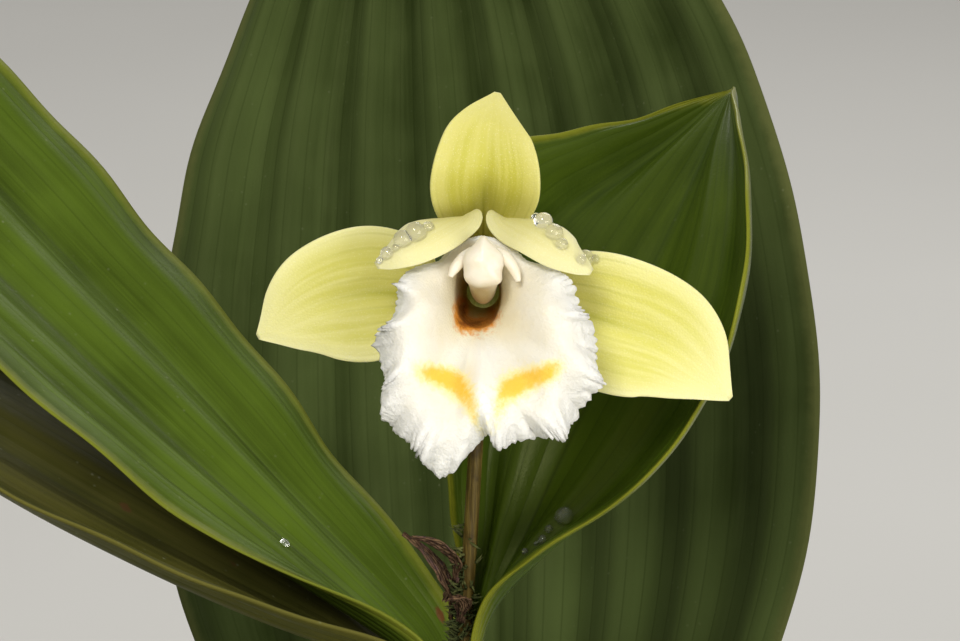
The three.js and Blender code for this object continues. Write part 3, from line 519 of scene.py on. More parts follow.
def add_piece(name, vertices, faces, material, values, node=None, slot=None):
    """A mesh piece from points in millimetres, with a value for each point under each name."""
    mesh = bpy.data.meshes.new(name)
    mesh.from_pydata((vertices * MM).tolist(), [], [list(map(int, face)) for face in faces])
    mesh.polygons.foreach_set("use_smooth", [True] * len(mesh.polygons))
    for key, per_point in values.items():
        attribute = mesh.attributes.new(key, "FLOAT", "POINT")
        attribute.data.foreach_set("value", np.asarray(per_point, float).ravel())
    mesh.materials.append(material)
    mesh.validate()
    mesh.update()
    piece = linked(name, mesh)
    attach(piece, "root")
    if node:
        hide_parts(node)
    return piece


def sheet_faces(rows, columns, closed):
    """Faces of a closed sheet of two layers over a grid: both layers and the rim round them."""
    under = rows * columns
    spans = columns if closed else columns - 1
    r, c = np.meshgrid(np.arange(rows - 1), np.arange(spans), indexing="ij")
    a = (r * columns + c).ravel()
    b = (r * columns + (c + 1) % columns).ravel()
    quads = [np.stack([a, b, b + columns, a + columns], 1),
             np.stack([a, a + columns, b + columns, b], 1) + under]
    last = (rows - 1) * columns
    c = np.arange(spans)
    after = (c + 1) % columns
    quads.append(np.stack([after, c, c + under, after + under], 1))
    quads.append(np.stack([c, after, after + under, c + under], 1) + last)
    if not closed:
        r = np.arange(rows - 1) * columns
        quads.append(np.stack([r, r + columns, r + columns + under, r + under], 1))
        r = r + columns - 1
        quads.append(np.stack([r + columns, r, r + under, r + columns + under], 1))
    return np.concatenate(quads)


def add_sheet(name, grid, thickness, material, closed=False, **kinds):
    """A thin closed sheet over a grid of points, thinner toward its margin."""
    points, normals, places = grid
    inset = places["inset"]
    depth = thickness * (0.35 + 0.65 * smoothstep(inset, 0, 1.5))[..., None] / 2
    layers = [(points + normals * depth).reshape(-1, 3), (points - normals * depth).reshape(-1, 3)]
    values = {key: np.tile(np.ravel(value), 2) for key, value in places.items()}
    faces = sheet_faces(*points.shape[:2], closed)
    return add_piece(name, np.concatenate(layers), faces, material, values, **kinds)


def add_rings(name, parts, material, spots=(), **kinds):
    """Closed round bodies through rings of points, with a fan over each end, and marks at the spots."""
    vertices = []
    faces = []
    along = []
    first = 0
    for rings in parts:
        count, sides = rings.shape[:2]
        r, i = np.meshgrid(np.arange(count - 1), np.arange(sides), indexing="ij")
        a = (first + r * sides + i).ravel()
        b = (first + r * sides + (i + 1) % sides).ravel()
        faces.extend(np.stack([a, b, b + sides, a + sides], 1).tolist())
        hub = first + count * sides
        last = first + (count - 1) * sides
        faces.extend([hub, first + (i + 1) % sides, first + i] for i in range(sides))
        faces.extend([hub + 1, last + i, last + (i + 1) % sides] for i in range(sides))
        vertices.extend([rings.reshape(-1, 3), rings[0].mean(0)[None], rings[-1].mean(0)[None]])
        along.append(np.repeat(np.linspace(0, 1, count), sides))
        along.append([0, 1])
        first = hub + 2
    vertices = np.concatenate(vertices)
    values = {"along": np.concatenate(along), "spot": marks(vertices, spots)}
    return add_piece(name, vertices, faces, material, values, **kinds)


# Materials

class Finish:
    """A Principled material whose color and normal are built up in layers by a small node graph. Sizes
    of textures are in millimetres."""

    def __init__(self, name, color=None, **plain):
        self.material = bpy.data.materials.new(name)
        self.material.use_nodes = True
        self.tree = self.material.node_tree
        self.shader = self.tree.nodes["Principled BSDF"]
        for socket, value in plain.items():
            self.shader.inputs[socket.replace("_", " ")].default_value = value
        self.place = self.stretch(self.add("ShaderNodeTexCoord").outputs["Object"], (1 / MM,) * 3)
        self.color = color
        self.normal = None

    def add(self, kind, inputs=None, **settings):
        node = self.tree.nodes.new(kind)
        for key, value in settings.items():
            setattr(node, key, value)
        for socket, value in (inputs or {}).items():
            self.set(node.inputs[socket], value)
        return node

    def set(self, socket, value):
        if isinstance(value, bpy.types.NodeSocket):
            self.tree.links.new(value, socket)
        elif socket.type == "RGBA":
            socket.default_value = (*value, 1)
        else:
            socket.default_value = value

    def value(self, name):
        return self.add("ShaderNodeAttribute", attribute_name=name).outputs["Fac"]

    def stretch(self, place, scale):
        return self.add("ShaderNodeVectorMath", {0: place, 1: scale}, operation="MULTIPLY").outputs[0]

    def noise(self, size, detail, rough=0.55, place=None):
        return self.add("ShaderNodeTexNoise", {
            "Vector": place or self.place, "Scale": 1 / size, "Detail": detail, "Roughness": rough,
        }).outputs["Fac"]

    def cells(self, size):
        node = self.add("ShaderNodeTexVoronoi", {"Vector": self.place, "Scale": 1 / size})
        return node.outputs["Distance"]

    def math(self, operation, a, b=0.0):
        return self.add("ShaderNodeMath", {0: a, 1: b}, operation=operation).outputs[0]

    def times(self, a, b):
        return self.math("MULTIPLY", a, b)

    def plus(self, a, b):
        return self.math("ADD", a, b)

    def stripes(self, place, count):
        """Lines side by side, each 0 at its middle."""
        return self.math("ABSOLUTE", self.math("SINE", self.times(place, count)))

    def streaks(self, across, along):
        """Noise drawn out along a blade, by how often it changes across it and along it."""
        place = {0: self.times(self.value("across"), across), 1: self.times(self.value("along"), along)}
        return self.noise(1, 3, 0.6, self.add("ShaderNodeCombineXYZ", place).outputs[0])

    def roughened(self, value, fuzz, amount):
        """A value whose borders are broken up by noise."""
        return self.plus(value, self.times(self.math("SUBTRACT", fuzz, 0.5), amount))

    def remap(self, value, low, high, to_low=0.0, to_high=1.0):
        return self.add("ShaderNodeMapRange", {
            "Value": value, "From Min": low, "From Max": high, "To Min": to_low, "To Max": to_high,
        }, interpolation_type="SMOOTHSTEP").outputs["Result"]

    def tint(self, tone, share):
        """A layer of another color over what is there."""
        node = self.add("ShaderNodeMix", {0: share, 6: self.color, 7: tone}, data_type="RGBA")
        self.color = node.outputs[2]

    def bump(self, height, distance, strength):
        """A layer of relief over what is there."""
        inputs = {"Height": height, "Distance": distance * MM, "Strength": strength}
        if self.normal:
            inputs["Normal"] = self.normal
        self.normal = self.add("ShaderNodeBump", inputs).outputs["Normal"]

    def done(self, rough=None):
        fed = {"Base Color": self.color, "Roughness": rough, "Normal": self.normal}
        for socket, value in fed.items():
            if value:
                self.tree.links.new(value, self.shader.inputs[socket])
        return self.material


DUST = (0.30, 0.32, 0.20)
SUGAR = (0.96, 0.95, 0.78)
# Painted shade for the column's shaft, which sits back in shadow under the hood
SHADED_WAX = (0.42, 0.34, 0.17)
LIP_TONES = dict(
    white=(0.83, 0.78, 0.66), warm=(0.82, 0.75, 0.57), margin=(0.80, 0.79, 0.74), cream=(0.82, 0.76, 0.50),
    keel=(0.92, 0.91, 0.85), throat=(0.66, 0.48, 0.12), straw=(0.93, 0.84, 0.40), gold=(0.93, 0.56, 0.045),
    rust=(0.75, 0.31, 0.04), umber=(0.22, 0.065, 0.008),
)
BRACT_TONES = dict(dark=(0.05, 0.022, 0.01), light=(0.17, 0.10, 0.05), vein=(0.05, 0.022, 0.014),
                   purple=(0.10, 0.05, 0.05))
CLAY = dict(dark=(0.42, 0.165, 0.075), light=(0.55, 0.25, 0.13), fired=(0.30, 0.11, 0.05),
            lime=(0.72, 0.62, 0.53), algae=(0.13, 0.15, 0.06), pore=(0.16, 0.06, 0.03))


def leaf_finish(name, dark, light, rim, roughness, veins, specks, spots=(0.12, 0.05, 0.015), sheen=0.1):
    """A leathery leaf: mottled green, parallel veins, a paler margin, fine pale specks and old scars, with
    painted light on pleat ridges and on lightened patches, and painted shade in the pleat creases.
    """
    look = Finish(name, dark, Specular_IOR_Level=sheen, Specular_Tint=(1, 1, 0.55, 1))
    across = look.value("across")
    fine = look.noise(1.3, 4)
    mottle = look.plus(look.times(look.noise(11, 2), 0.6), look.times(look.streaks(26, 5), 0.6))
    look.tint(light, look.remap(mottle, 0.35, 0.85))
    # Painted light: patches with a pale value are lifted toward a brighter green where the leaf lies in
    # shade.
    look.tint(tuple(1.9 * channel for channel in light), look.value("pale"))
    # Painted light and shade: pleat ridges are tinted lighter and the creases between them are left darker.
    look.tint(light, look.remap(look.value("ridge"), -1, 1, 0.0, 0.5))
    line = look.stripes(across, veins)
    look.tint(dark, look.remap(line, 0.0, 0.25, 0.35, 0.0))
    look.tint(dark, look.remap(look.math("ABSOLUTE", across), 0.0, 0.03, 0.55, 0.0))
    inset = look.plus(look.value("inset"), look.times(fine, 0.9))
    look.tint(rim, look.remap(inset, 0.5, 2.3, 0.85, 0.0))
    dots = look.remap(look.cells(1.5), 0.0, 0.16, 1.0, 0.0)
    dust = look.times(dots, look.remap(look.noise(6, 2), 0.42, 0.7, 0.0, specks))
    look.tint(DUST, dust)
    scar = look.plus(look.value("spot"), look.times(fine, 0.25))
    look.tint(spots, look.remap(scar, 0.45, 0.75))
    look.bump(line, 0.10, 0.5)
    look.bump(look.noise(0.35, 4), 0.05, 0.6)
    look.bump(dust, 0.12, 0.7)
    uneven = look.plus(roughness - 0.12, look.times(look.noise(4, 4), 0.26))
    return look.done(look.plus(uneven, look.times(dust, 0.3)))


def tepal_finish(name, base, pale, vein):
    """Fleshy sepal or petal tissue: faint parallel veins under a sugary skin, paler at the margin."""
    look = Finish(name, base, Specular_IOR_Level=0.45, Subsurface_Weight=0.25, Subsurface_Scale=0.0012,
                  Subsurface_Radius=(1.0, 0.9, 0.3))
    streak = look.streaks(9, 2.2)
    look.tint(pale, look.remap(streak, 0.35, 0.7, 0.0, 0.35))
    look.tint(pale, look.remap(look.value("inset"), 0.1, 2.4, 0.75, 0.0))
    look.tint(pale, look.remap(look.value("along"), 0.66, 0.95, 0.0, 0.7))
    line = look.stripes(look.value("across"), 14)
    lines = look.times(look.remap(line, 0.0, 0.45, 1.0, 0.0), look.value("veined"))
    look.tint(vein, look.times(lines, look.remap(streak, 0.35, 0.65, 0.1, 0.45)))
    look.tint(vein, look.value("shade"))
    grain = look.cells(0.2)
    look.tint(SUGAR, look.remap(grain, 0.0, 0.3, 0.3, 0.0))
    look.bump(grain, 0.04, 0.6)
    look.bump(look.noise(1.6, 3), 0.06, 0.4)
    return look.done(look.plus(0.32, look.times(look.remap(grain, 0.0, 0.35), 0.26)))


def lip_finish():
    """White crystalline tissue with a brown throat and two yellow patches beside its keel."""
    look = Finish("lip_tissue", LIP_TONES["white"], Specular_IOR_Level=0.5, Subsurface_Weight=0.3,
                  Subsurface_Scale=0.0014, Subsurface_Radius=(1.0, 0.95, 0.8))
    fuzz = look.noise(0.55, 5, 0.65)
    look.tint(LIP_TONES["warm"], look.remap(look.noise(2.2, 3), 0.35, 0.7, 0.0, 0.5))
    for part in ("margin", "cream", "keel", "throat"):
        look.tint(LIP_TONES[part], look.value(part))
    gold = look.roughened(look.value("gold"), fuzz, 0.9)
    look.tint(LIP_TONES["straw"], look.remap(gold, 0.08, 0.5, 0.0, 0.75))
    look.tint(LIP_TONES["gold"], look.remap(gold, 0.3, 0.95, 0.0, 0.95))
    stain = look.roughened(look.value("stain"), fuzz, 1.1)
    look.tint(LIP_TONES["rust"], look.remap(stain, 0.22, 0.75))
    look.tint(LIP_TONES["umber"], look.remap(stain, 0.62, 1.15, 0.0, 0.95))
    grain = look.cells(0.24)
    look.bump(grain, 0.05, 0.7)
    look.bump(look.times(look.noise(1.1, 4), look.plus(0.35, look.value("margin"))), 0.4, 0.7)
    return look.done(look.plus(0.33, look.times(grain, 0.3)))


def waxy_finish(name, base, tint):
    look = Finish(name, base, Specular_IOR_Level=0.5, Subsurface_Weight=0.3, Subsurface_Scale=0.001,
                  Subsurface_Radius=(1.0, 0.95, 0.8), Coat_Weight=0.15, Coat_Roughness=0.25)
    look.tint(tint, look.remap(look.noise(1.2, 3), 0.35, 0.7))
    # Painted shade: the spot value darkens the column's shaft, set back in shadow.
    look.tint(SHADED_WAX, look.value("spot"))
    grain = look.cells(0.2)
    look.bump(grain, 0.03, 0.5)
    return look.done(look.plus(0.3, look.times(grain, 0.2)))


def cane_finish(name, base, streaked, dark):
    """A reed-like cane in its dry sheaths: lengthwise fibres and dark scurf."""
    look = Finish(name, base, Specular_IOR_Level=0.22)
    fibre = look.noise(0.35, 4, 0.6, look.stretch(look.place, (1, 1, 0.05)))
    look.tint(streaked, look.remap(fibre, 0.38, 0.66))
    look.tint(dark, look.remap(look.noise(2.8, 4), 0.5, 0.72, 0.0, 0.8))
    dots = look.remap(look.cells(0.9), 0.0, 0.2, 0.8, 0.0)
    look.tint(dark, look.times(dots, look.remap(look.noise(5, 2), 0.4, 0.6)))
    look.bump(fibre, 0.18, 0.8)
    look.bump(dots, 0.12, 0.5)
    return look.done(look.remap(look.noise(1.5, 3), 0.3, 0.7, 0.35, 0.62))


def bract_finish():
    look = Finish("dry_bract", BRACT_TONES["dark"], Specular_IOR_Level=0.25)
    line = look.stripes(look.value("across"), 18)
    fine = look.noise(0.5, 5)
    look.tint(BRACT_TONES["light"], look.remap(fine, 0.35, 0.65))
    look.tint(BRACT_TONES["vein"], look.remap(line, 0.0, 0.4, 0.6, 0.0))
    look.tint(BRACT_TONES["purple"], look.remap(look.noise(1.5, 2), 0.55, 0.7, 0.0, 0.8))
    look.bump(look.plus(fine, line), 0.2, 0.8)
    return look.done(look.remap(fine, 0.3, 0.7, 0.55, 0.85))


def terracotta_finish():
    """Unglazed clay: grog and pores, throwing lines, pale lime bloom low down and a damp foot."""
    look = Finish("terracotta", CLAY["dark"], Specular_IOR_Level=0.25)
    height = look.add("ShaderNodeSeparateXYZ", {0: look.place}).outputs[2]
    fine = look.noise(1.1, 5)
    look.tint(CLAY["light"], look.remap(look.noise(22, 4), 0.35, 0.7))
    look.tint(CLAY["fired"], look.remap(fine, 0.45, 0.8, 0.0, 0.45))
    band = look.plus(look.remap(height, 4, 46, 1.0, 0.0), look.remap(height, 80, 92, 0.0, 0.5))
    look.tint(CLAY["lime"], look.times(band, look.remap(look.noise(9, 5, 0.65), 0.47, 0.68, 0.0, 0.75)))
    foot = look.remap(height, 0, 34, 1.0, 0.0)
    look.tint(CLAY["algae"], look.times(foot, look.remap(look.noise(14, 5), 0.52, 0.7, 0.0, 0.6)))
    pores = look.remap(look.cells(1.4), 0.0, 0.14, 1.0, 0.0)
    look.tint(CLAY["pore"], look.times(pores, 0.6))
    look.bump(look.math("SINE", look.times(look.plus(height, look.noise(30, 1)), 3.1)), 0.06, 0.5)
    look.bump(fine, 0.22, 0.7)
    look.bump(look.math("SUBTRACT", 1.0, pores), 0.25, 0.8)
    return look.done(look.remap(fine, 0.3, 0.7, 0.72, 0.95))


def bark_finish(name, dark, light):
    look = Finish(name, dark, Specular_IOR_Level=0.25)
    grain = look.noise(0.9, 5, 0.65, look.stretch(look.place, (1, 0.3, 1)))
    look.tint(light, look.remap(grain, 0.35, 0.7))
    look.tint(dark, look.remap(look.noise(7, 3), 0.4, 0.65, 0.0, 0.7))
    look.bump(grain, 0.4, 0.9)
    look.bump(look.noise(0.3, 3), 0.1, 0.7)
    return look.done(look.remap(grain, 0.3, 0.7, 0.65, 0.95))


# Where things fall in the picture, whose middle looks at VIEW_AIM

VIEW_AIM = np.array([-0.3, -17, 317.4])
VIEW_PITCH = 20 * DEG
VIEW_DISTANCE = 344
PIXEL = 0.092
PICTURE = (960, 641)
CAMERA_AT = VIEW_AIM + VIEW_DISTANCE * np.array([0, -math.cos(VIEW_PITCH), math.sin(VIEW_PITCH)])


def picture_place(points):
    """The picture's x and y, in pixels, of points in millimetres."""
    q = points - VIEW_AIM
    up = np.array([0, math.sin(VIEW_PITCH), math.cos(VIEW_PITCH)])
    away = np.array([0, math.cos(VIEW_PITCH), -math.sin(VIEW_PITCH)])
    scale = VIEW_DISTANCE / (VIEW_DISTANCE + q @ away) / PIXEL
    return PICTURE[0] / 2 + q[..., 0] * scale, PICTURE[1] / 2 - (q @ up) * scale


def marks(points, listed):
    """How far points lie within soft spots, each given by its middle, its two half sizes, its turn in
    degrees and its strength in the picture."""
    x, y = picture_place(points)
    total = np.zeros(x.shape)
    for middle_x, middle_y, half_x, half_y, turn, strength in listed:
        dx = x - middle_x
        dy = y - middle_y
        cos = math.cos(turn * DEG)
        sin = math.sin(turn * DEG)
        along = (dx * cos + dy * sin) / half_x
        across = (dy * cos - dx * sin) / half_y
        total = total + strength * np.exp(-(along**2 + across**2))
    return total


# The plant

THICKNESS = dict(leaf=0.62, bract=0.45, tepal=0.55, lip=0.5)
GREEN = dict(dark=(0.034, 0.056, 0.004), light=(0.082, 0.132, 0.012), rim=(0.17, 0.19, 0.02))
leaf_green = leaf_finish("leaf_green", **GREEN, roughness=0.42, veins=34, specks=0.3)
leaf_dusty = leaf_finish("leaf_dusty", dark=(0.038, 0.042, 0.006), light=(0.11, 0.105, 0.022),
                         rim=(0.11, 0.10, 0.02), roughness=0.5, veins=34, specks=0.7,
                         spots=(0.13, 0.07, 0.025))
leaf_glossy = leaf_finish("leaf_glossy", dark=(0.024, 0.045, 0.003), light=(0.055, 0.088, 0.006),
                          rim=(0.20, 0.21, 0.015), roughness=0.32, veins=30, specks=0.1, sheen=0.22)
leaf_grey = leaf_finish("leaf_grey", dark=(0.018, 0.029, 0.005), light=(0.047, 0.066, 0.018),
                        rim=(0.09, 0.10, 0.03), roughness=0.62, veins=60, specks=0.15)
LEAF_LOOKS = {
    "leaf_flowering_4": leaf_dusty,
    "leaf_flowering_6": leaf_glossy,
    "leaf_back_1": leaf_grey,
    "leaf_back_2": leaf_grey,
    "leaf_back_3": leaf_grey,
}
IN_PICTURE = ("leaf_flowering_4", "leaf_flowering_5", "leaf_flowering_6", "leaf_back_3")

# Scars of single leaves, and painted light on patches of leaves that lie in shade: middle, half sizes, turn
# in degrees and strength in the picture

SCARS = {
    "leaf_flowering_5": [(440, 615, 8, 4, 20, 1.0)],
    "leaf_flowering_4": [(125, 510, 9, 5, 25, 0.9), (230, 565, 6, 3, 15, 0.8)],
}
PAINTED_LIGHT = {
    "leaf_back_3": [(640, 610, 190, 90, 0, 0.75), (240, 110, 60, 150, 10, 0.5),
                    (280, 420, 60, 80, 0, 0.4)],
    "leaf_flowering_6": [(570, 480, 80, 50, -35, 0.75)],
}
grids = {}
for index, (name, form) in enumerate(LEAVES.items()):
    seen = name in IN_PICTURE
    columns = 8 * form["folds"] + 1
    if seen:
        grid = leaf_grid(form, 120, 2 * columns - 1, 14, seed=1.7 * index)
    else:
        grid = leaf_grid(form, 60, columns, 8, seed=1.7 * index)
    grid[2]["spot"] = marks(grid[0], SCARS.get(name, []))
    # Painted light: the pale value lifts shaded parts of these leaves toward a brighter green.
    grid[2]["pale"] = marks(grid[0], PAINTED_LIGHT.get(name, []))
    grids[name] = grid
    add_sheet(f"{name}_blade", grid, THICKNESS["leaf"], LEAF_LOOKS.get(name, leaf_green), node=name)

bract = bract_finish()
CRUMPLE = 0.22
for index, (name, form) in enumerate(BRACTS.items()):
    points, normals, places = leaf_grid(form, 60, 33, 3)
    crumple = CRUMPLE * scatter(places["along"] * 5 + places["across"] * 3, 1.6, 5.0 + index)
    points = points + normals * crumple[..., None]
    add_sheet(f"{name}_scale", (points, normals, places), THICKNESS["bract"], bract, node=name)

cane_look = cane_finish("cane", (0.07, 0.046, 0.009), (0.15, 0.105, 0.022), (0.025, 0.014, 0.005))
for name, cane in CANES.items():
    z = np.concatenate([[CANE_FOOT], np.arange(CANE_FOOT + 1, cane["top"], 1.2), [cane["top"]]])
    radii = cane_radius(cane, z)
    rings = [ring(place, along, (1, 0, 0), girth, girth, 28)
             for place, along, girth in zip(cane_axis(cane, z), cane_direction(cane, z), radii)]
    add_rings(f"cane_{name}_stem", [np.array(rings)], cane_look, node=f"cane_{name}")

# The flower

dorsal = tepal_finish("dorsal_tissue", (0.51, 0.48, 0.06), (0.67, 0.62, 0.21), (0.36, 0.35, 0.025))
sepal = tepal_finish("sepal_tissue", (0.64, 0.61, 0.13), (0.82, 0.78, 0.38), (0.42, 0.42, 0.03))
petal = tepal_finish("petal_tissue", (0.65, 0.60, 0.22), (0.74, 0.70, 0.37), (0.44, 0.46, 0.05))
TEPAL_LOOKS = {"dorsal": dorsal, "lateral": sepal, "petal": petal}
for index, (name, form) in enumerate(TEPALS.items()):
    grid = tepal_grid(form, 80, 45, crumple=0.16, seed=2.3 * index)
    along = grid[2]["along"]
    grid[2]["veined"] = 1 - smoothstep(along, 0.35, 0.8)
    midline = np.exp(-((grid[2]["across"] / 0.09) ** 2))
    grid[2]["shade"] = 0.75 * midline * (1 - smoothstep(along, 0.3, 0.78))
    grids[name] = grid
    add_sheet(f"{name}_tissue", grid, THICKNESS["tepal"], TEPAL_LOOKS[name.split("_")[0]], node=name)

# Colours of the lip, and painted shade on the column's shaft, as soft spots in the picture

STAIN = [(459, 312, 9, 17, 0, 1.1), (493, 316, 13, 14, 0, 0.62), (474, 326, 16, 6, 0, 0.9),
         (476, 336, 18, 7, 0, 0.35)]
GOLD = [(427, 373, 15, 10, 20, 0.7), (447, 381, 19, 12, 20, 0.85), (463, 394, 13, 18, -35, 0.6),
        (475, 414, 7, 22, -18, 0.45), (552, 370, 14, 9, -35, 0.7), (530, 380, 20, 12, -25, 0.95),
        (510, 391, 13, 15, 20, 0.75), (497, 412, 7, 22, 16, 0.45)]
KEEL = [(486, 400, 12, 36, 2, 1.0), (485, 355, 60, 16, 0, 0.8)]
# Painted shade on the column's shaft, set back in shadow below the hood
SHADED_SHAFT = [(479, 292, 20, 7, 0, 1.0), (479, 303, 20, 8, 0, 1.0)]
grid = lip_grid(84, 480)
grid[2]["stain"] = marks(grid[0], STAIN)
grid[2]["gold"] = marks(grid[0], GOLD)
grid[2]["keel"] = marks(grid[0], KEEL)
grid[2]["throat"] = 0.9 * (1 - smoothstep(grid[2]["along"], 0.16, 0.36))
grid[2]["margin"] = smoothstep(grid[2]["along"], 0.72, 0.95)
grid[2]["cream"] = 0.8 * (1 - smoothstep(grid[2]["along"], 0.34, 0.66))
add_sheet("lip_tissue", grid, THICKNESS["lip"], lip_finish(), closed=True, node="lip")

column_look = waxy_finish("column_wax", (0.82, 0.75, 0.61), (0.80, 0.72, 0.55))
add_rings("column_body", column_rings(48, 44), column_look, spots=SHADED_SHAFT, node="column")
ovary_look = cane_finish("ovary_skin", (0.36, 0.38, 0.07), (0.50, 0.50, 0.14), (0.20, 0.19, 0.04))
ovary_path = path_through(OVARY["path"])
ovary = tube_rings(ovary_path, lambda t: track(OVARY["radius"], t), 48, 36, (1, 0, 0), ribs=6, rib=0.06)
add_rings("ovary_body", [ovary], ovary_look, node="ovary")

# Moss at the foot of the flower stalk

MOSS = dict(
    shoots=260, low=272, thickest=279, high=291, heading=0.4, fan=0.9, sunk=0.1, tangle=0.5, rise=0.4,
    sides=5, length=1.5, girth=0.15, outline=[(0, 0.6), (0.35, 1), (0.7, 0.7), (1, 0.08)],
)


def moss_piece():
    """Short pointed shoots on the stalk, thickest on its left."""
    draw = np.random.default_rng(11)
    cane = CANES["flowering"]
    shoots = []
    for _ in range(MOSS["shoots"]):
        z = np.array([draw.triangular(MOSS["low"], MOSS["thickest"], MOSS["high"])])
        heading = math.pi + draw.normal(MOSS["heading"], MOSS["fan"])
        out = np.array([math.cos(heading), math.sin(heading), 0])
        foot = cane_axis(cane, z)[0] + out * (cane_radius(cane, z)[0] - MOSS["sunk"])
        aim = unit(out + draw.normal(0, MOSS["tangle"], 3))
        length = MOSS["length"] * draw.uniform(0.5, 1.3)
        rings = []
        for share, swell in MOSS["outline"]:
            middle = foot + aim * length * share + np.array([0, 0, MOSS["rise"] * share**2])
            girth = MOSS["girth"] * swell
            rings.append(ring(middle, aim, (0.3, 0.2, 1), girth, girth, MOSS["sides"]))
        shoots.append(np.array(rings))
    look = bark_finish("moss", (0.03, 0.04, 0.008), (0.16, 0.17, 0.05))
    add_rings("stalk_moss", shoots, look, slot="leaf")


moss_piece()

# Water drops, by their middle in the picture and their radius in millimetres

DROP = dict(lift=0.3, lift_share=0.4, flat=0.85, flat_spread=0.1, oval=0.92, opening=0.12)
DROPS = {
    "petal_left": [(405, 243, 0.9), (417, 237, 1.0), (427, 231, 0.55), (389, 256, 0.65), (397, 250, 0.4),
                   (382, 262, 0.35)],
    "petal_right": [(543, 228, 0.9), (553, 237, 0.85), (560, 246, 0.6), (536, 219, 0.4), (580, 262, 0.5)],
    "lateral_sepal_right": [(578, 253, 0.75), (588, 256, 0.85), (598, 258, 0.4)],
    "leaf_flowering_6": [(567, 520, 0.95), (546, 540, 0.5), (553, 531, 0.45), (530, 551, 0.35),
                         (538, 546, 0.25)],
    "leaf_flowering_5": [(280, 545, 0.5)],
}


def drop_piece(name, listed):
    """Flattened drops lying on the side of a sheet that the picture shows."""
    points, normals, _ = grids[name]
    x, y = picture_place(points)
    parts = []
    polar = np.linspace(math.pi - DROP["opening"], DROP["opening"], 15)
    turn = circle(24)
    for at_x, at_y, radius in listed:
        nearest = np.unravel_index(np.argmin((x - at_x) ** 2 + (y - at_y) ** 2), x.shape)
        at = points[nearest]
        up = normals[nearest] * np.sign(normals[nearest] @ (CAMERA_AT - at))
        side = square_to(np.array([1.0, 0.2, 0.1]), up)
        other = np.cross(up, side)
        outward = np.cos(turn)[:, None] * side + np.sin(turn)[:, None] * other * DROP["oval"]
        middle = at + up * (DROP["lift"] + DROP["lift_share"] * radius)
        tall = radius * (DROP["flat"] + DROP["flat_spread"] * math.sin(at_x))
        shell = [middle + up * tall * math.cos(a) + outward * radius * math.sin(a) for a in polar]
        parts.append(np.array(shell))
    add_rings(f"{name}_drops", parts, water, slot="column")


water = Finish("water", Base_Color=(1, 1, 1, 1), Roughness=0.03, IOR=1.45, Transmission_Weight=0.93).material
for name, listed in DROPS.items():
    drop_piece(name, listed)

# Pot and planting mix

POT = dict(height=110, base=42, body=54, rim=60, band=22, step=3.5, wall=5, floor=7, rounding=2.2,
           shoulder=(1.5, 0.5), hub=0.4, row=4)
DRAIN = dict(count=3, radius=4.5, out=22, depth=40)
SOIL = dict(crown=3, rough=0.9, frequency=0.16)
CHIPS = dict(
    count=620, clear=2.6, margin=4.5, length=(2.2, 6.2), width=(1.6, 3.4), thickness=(0.8, 1.8),
    roll=0.3, pitch=0.22, sunk=(0.1, 0.9), corner=0.45,
)


def pot_bore(z):
    share = (z - POT["floor"]) / (POT["height"] - 1 - POT["floor"])
    return lerp(POT["base"] - POT["wall"], POT["rim"] - POT["wall"], share)


def rounded(corners, radius, steps=5):
    """A profile with its corners rounded off."""
    corners = [np.array(corner, float) for corner in corners]
    profile = [corners[0]]
    for before, corner, after in zip(corners, corners[1:], corners[2:]):
        back = before - corner
        on = after - corner
        reach = min(radius, 0.45 * np.linalg.norm(back), 0.45 * np.linalg.norm(on))
        start = corner + unit(back) * reach
        end = corner + unit(on) * reach
        for share in np.linspace(0, 1, steps):
            profile.append(lerp(lerp(start, corner, share), lerp(corner, end, share), share))
    profile.append(corners[-1])
    return profile


def pot_piece():
    """The clay pot, turned from a rounded profile, with its drain holes cut out."""
    foot = POT["height"] - POT["band"]
    inner = POT["rim"] - POT["wall"]
    below, above = POT["shoulder"]
    corners = [
        (POT["hub"], 0), (POT["base"], 0), (POT["body"], foot - below),
        (POT["body"] + POT["step"], foot + above), (POT["rim"], POT["height"]), (inner, POT["height"]),
        (POT["base"] - POT["wall"], POT["floor"]), (POT["hub"], POT["floor"]),
    ]
    profile = rounded(corners, POT["rounding"])
    rings = []
    for start, end in zip(profile, profile[1:]):
        count = max(1, int(np.linalg.norm(end - start) / POT["row"]))
        rings.extend(lerp(start, end, share) for share in np.arange(count) / count)
    rings.append(profile[-1])
    turn = circle(128)
    rings = [[(radius * math.cos(a), radius * math.sin(a), z) for a in turn] for radius, z in rings]
    piece = add_rings("pot_clay", [np.array(rings)], terracotta_finish(), node="pot")
    for i in range(DRAIN["count"]):
        around = (i + 0.5) / DRAIN["count"] * 2 * math.pi
        form = bmesh.new()
        bmesh.ops.create_cone(form, cap_ends=True, segments=32, radius1=DRAIN["radius"] * MM,
                              radius2=DRAIN["radius"] * MM, depth=DRAIN["depth"] * MM)
        drain = linked_form("drain", form)
        drain.location = (DRAIN["out"] * MM * math.cos(around), DRAIN["out"] * MM * math.sin(around), 0)
        cut = piece.modifiers.new("drain", "BOOLEAN")
        cut.object = drain
        bpy.context.view_layer.update()
        with bpy.context.temp_override(object=piece, active_object=piece, selected_objects=[piece]):
            bpy.ops.object.modifier_apply(modifier="drain")
        bpy.data.objects.remove(drain)


def soil_height(x, y):
    """The crowned and crumbly top of the mix."""
    rim = pot_bore(SOIL_TOP) - FIT_GAP
    radius = np.hypot(x, y)
    places = np.stack([np.ravel(x), np.ravel(y)], 1) * SOIL["frequency"]
    rough = np.array([noise.fractal(Vector((a, b, 3)), 0.8, 2.1, 4) for a, b in places])
    rough = rough.reshape(np.shape(x)) * (1 - smoothstep(radius, rim * 0.94, rim))
    return SOIL_TOP + SOIL["crown"] * (1 - (radius / rim) ** 2) + SOIL["rough"] * rough


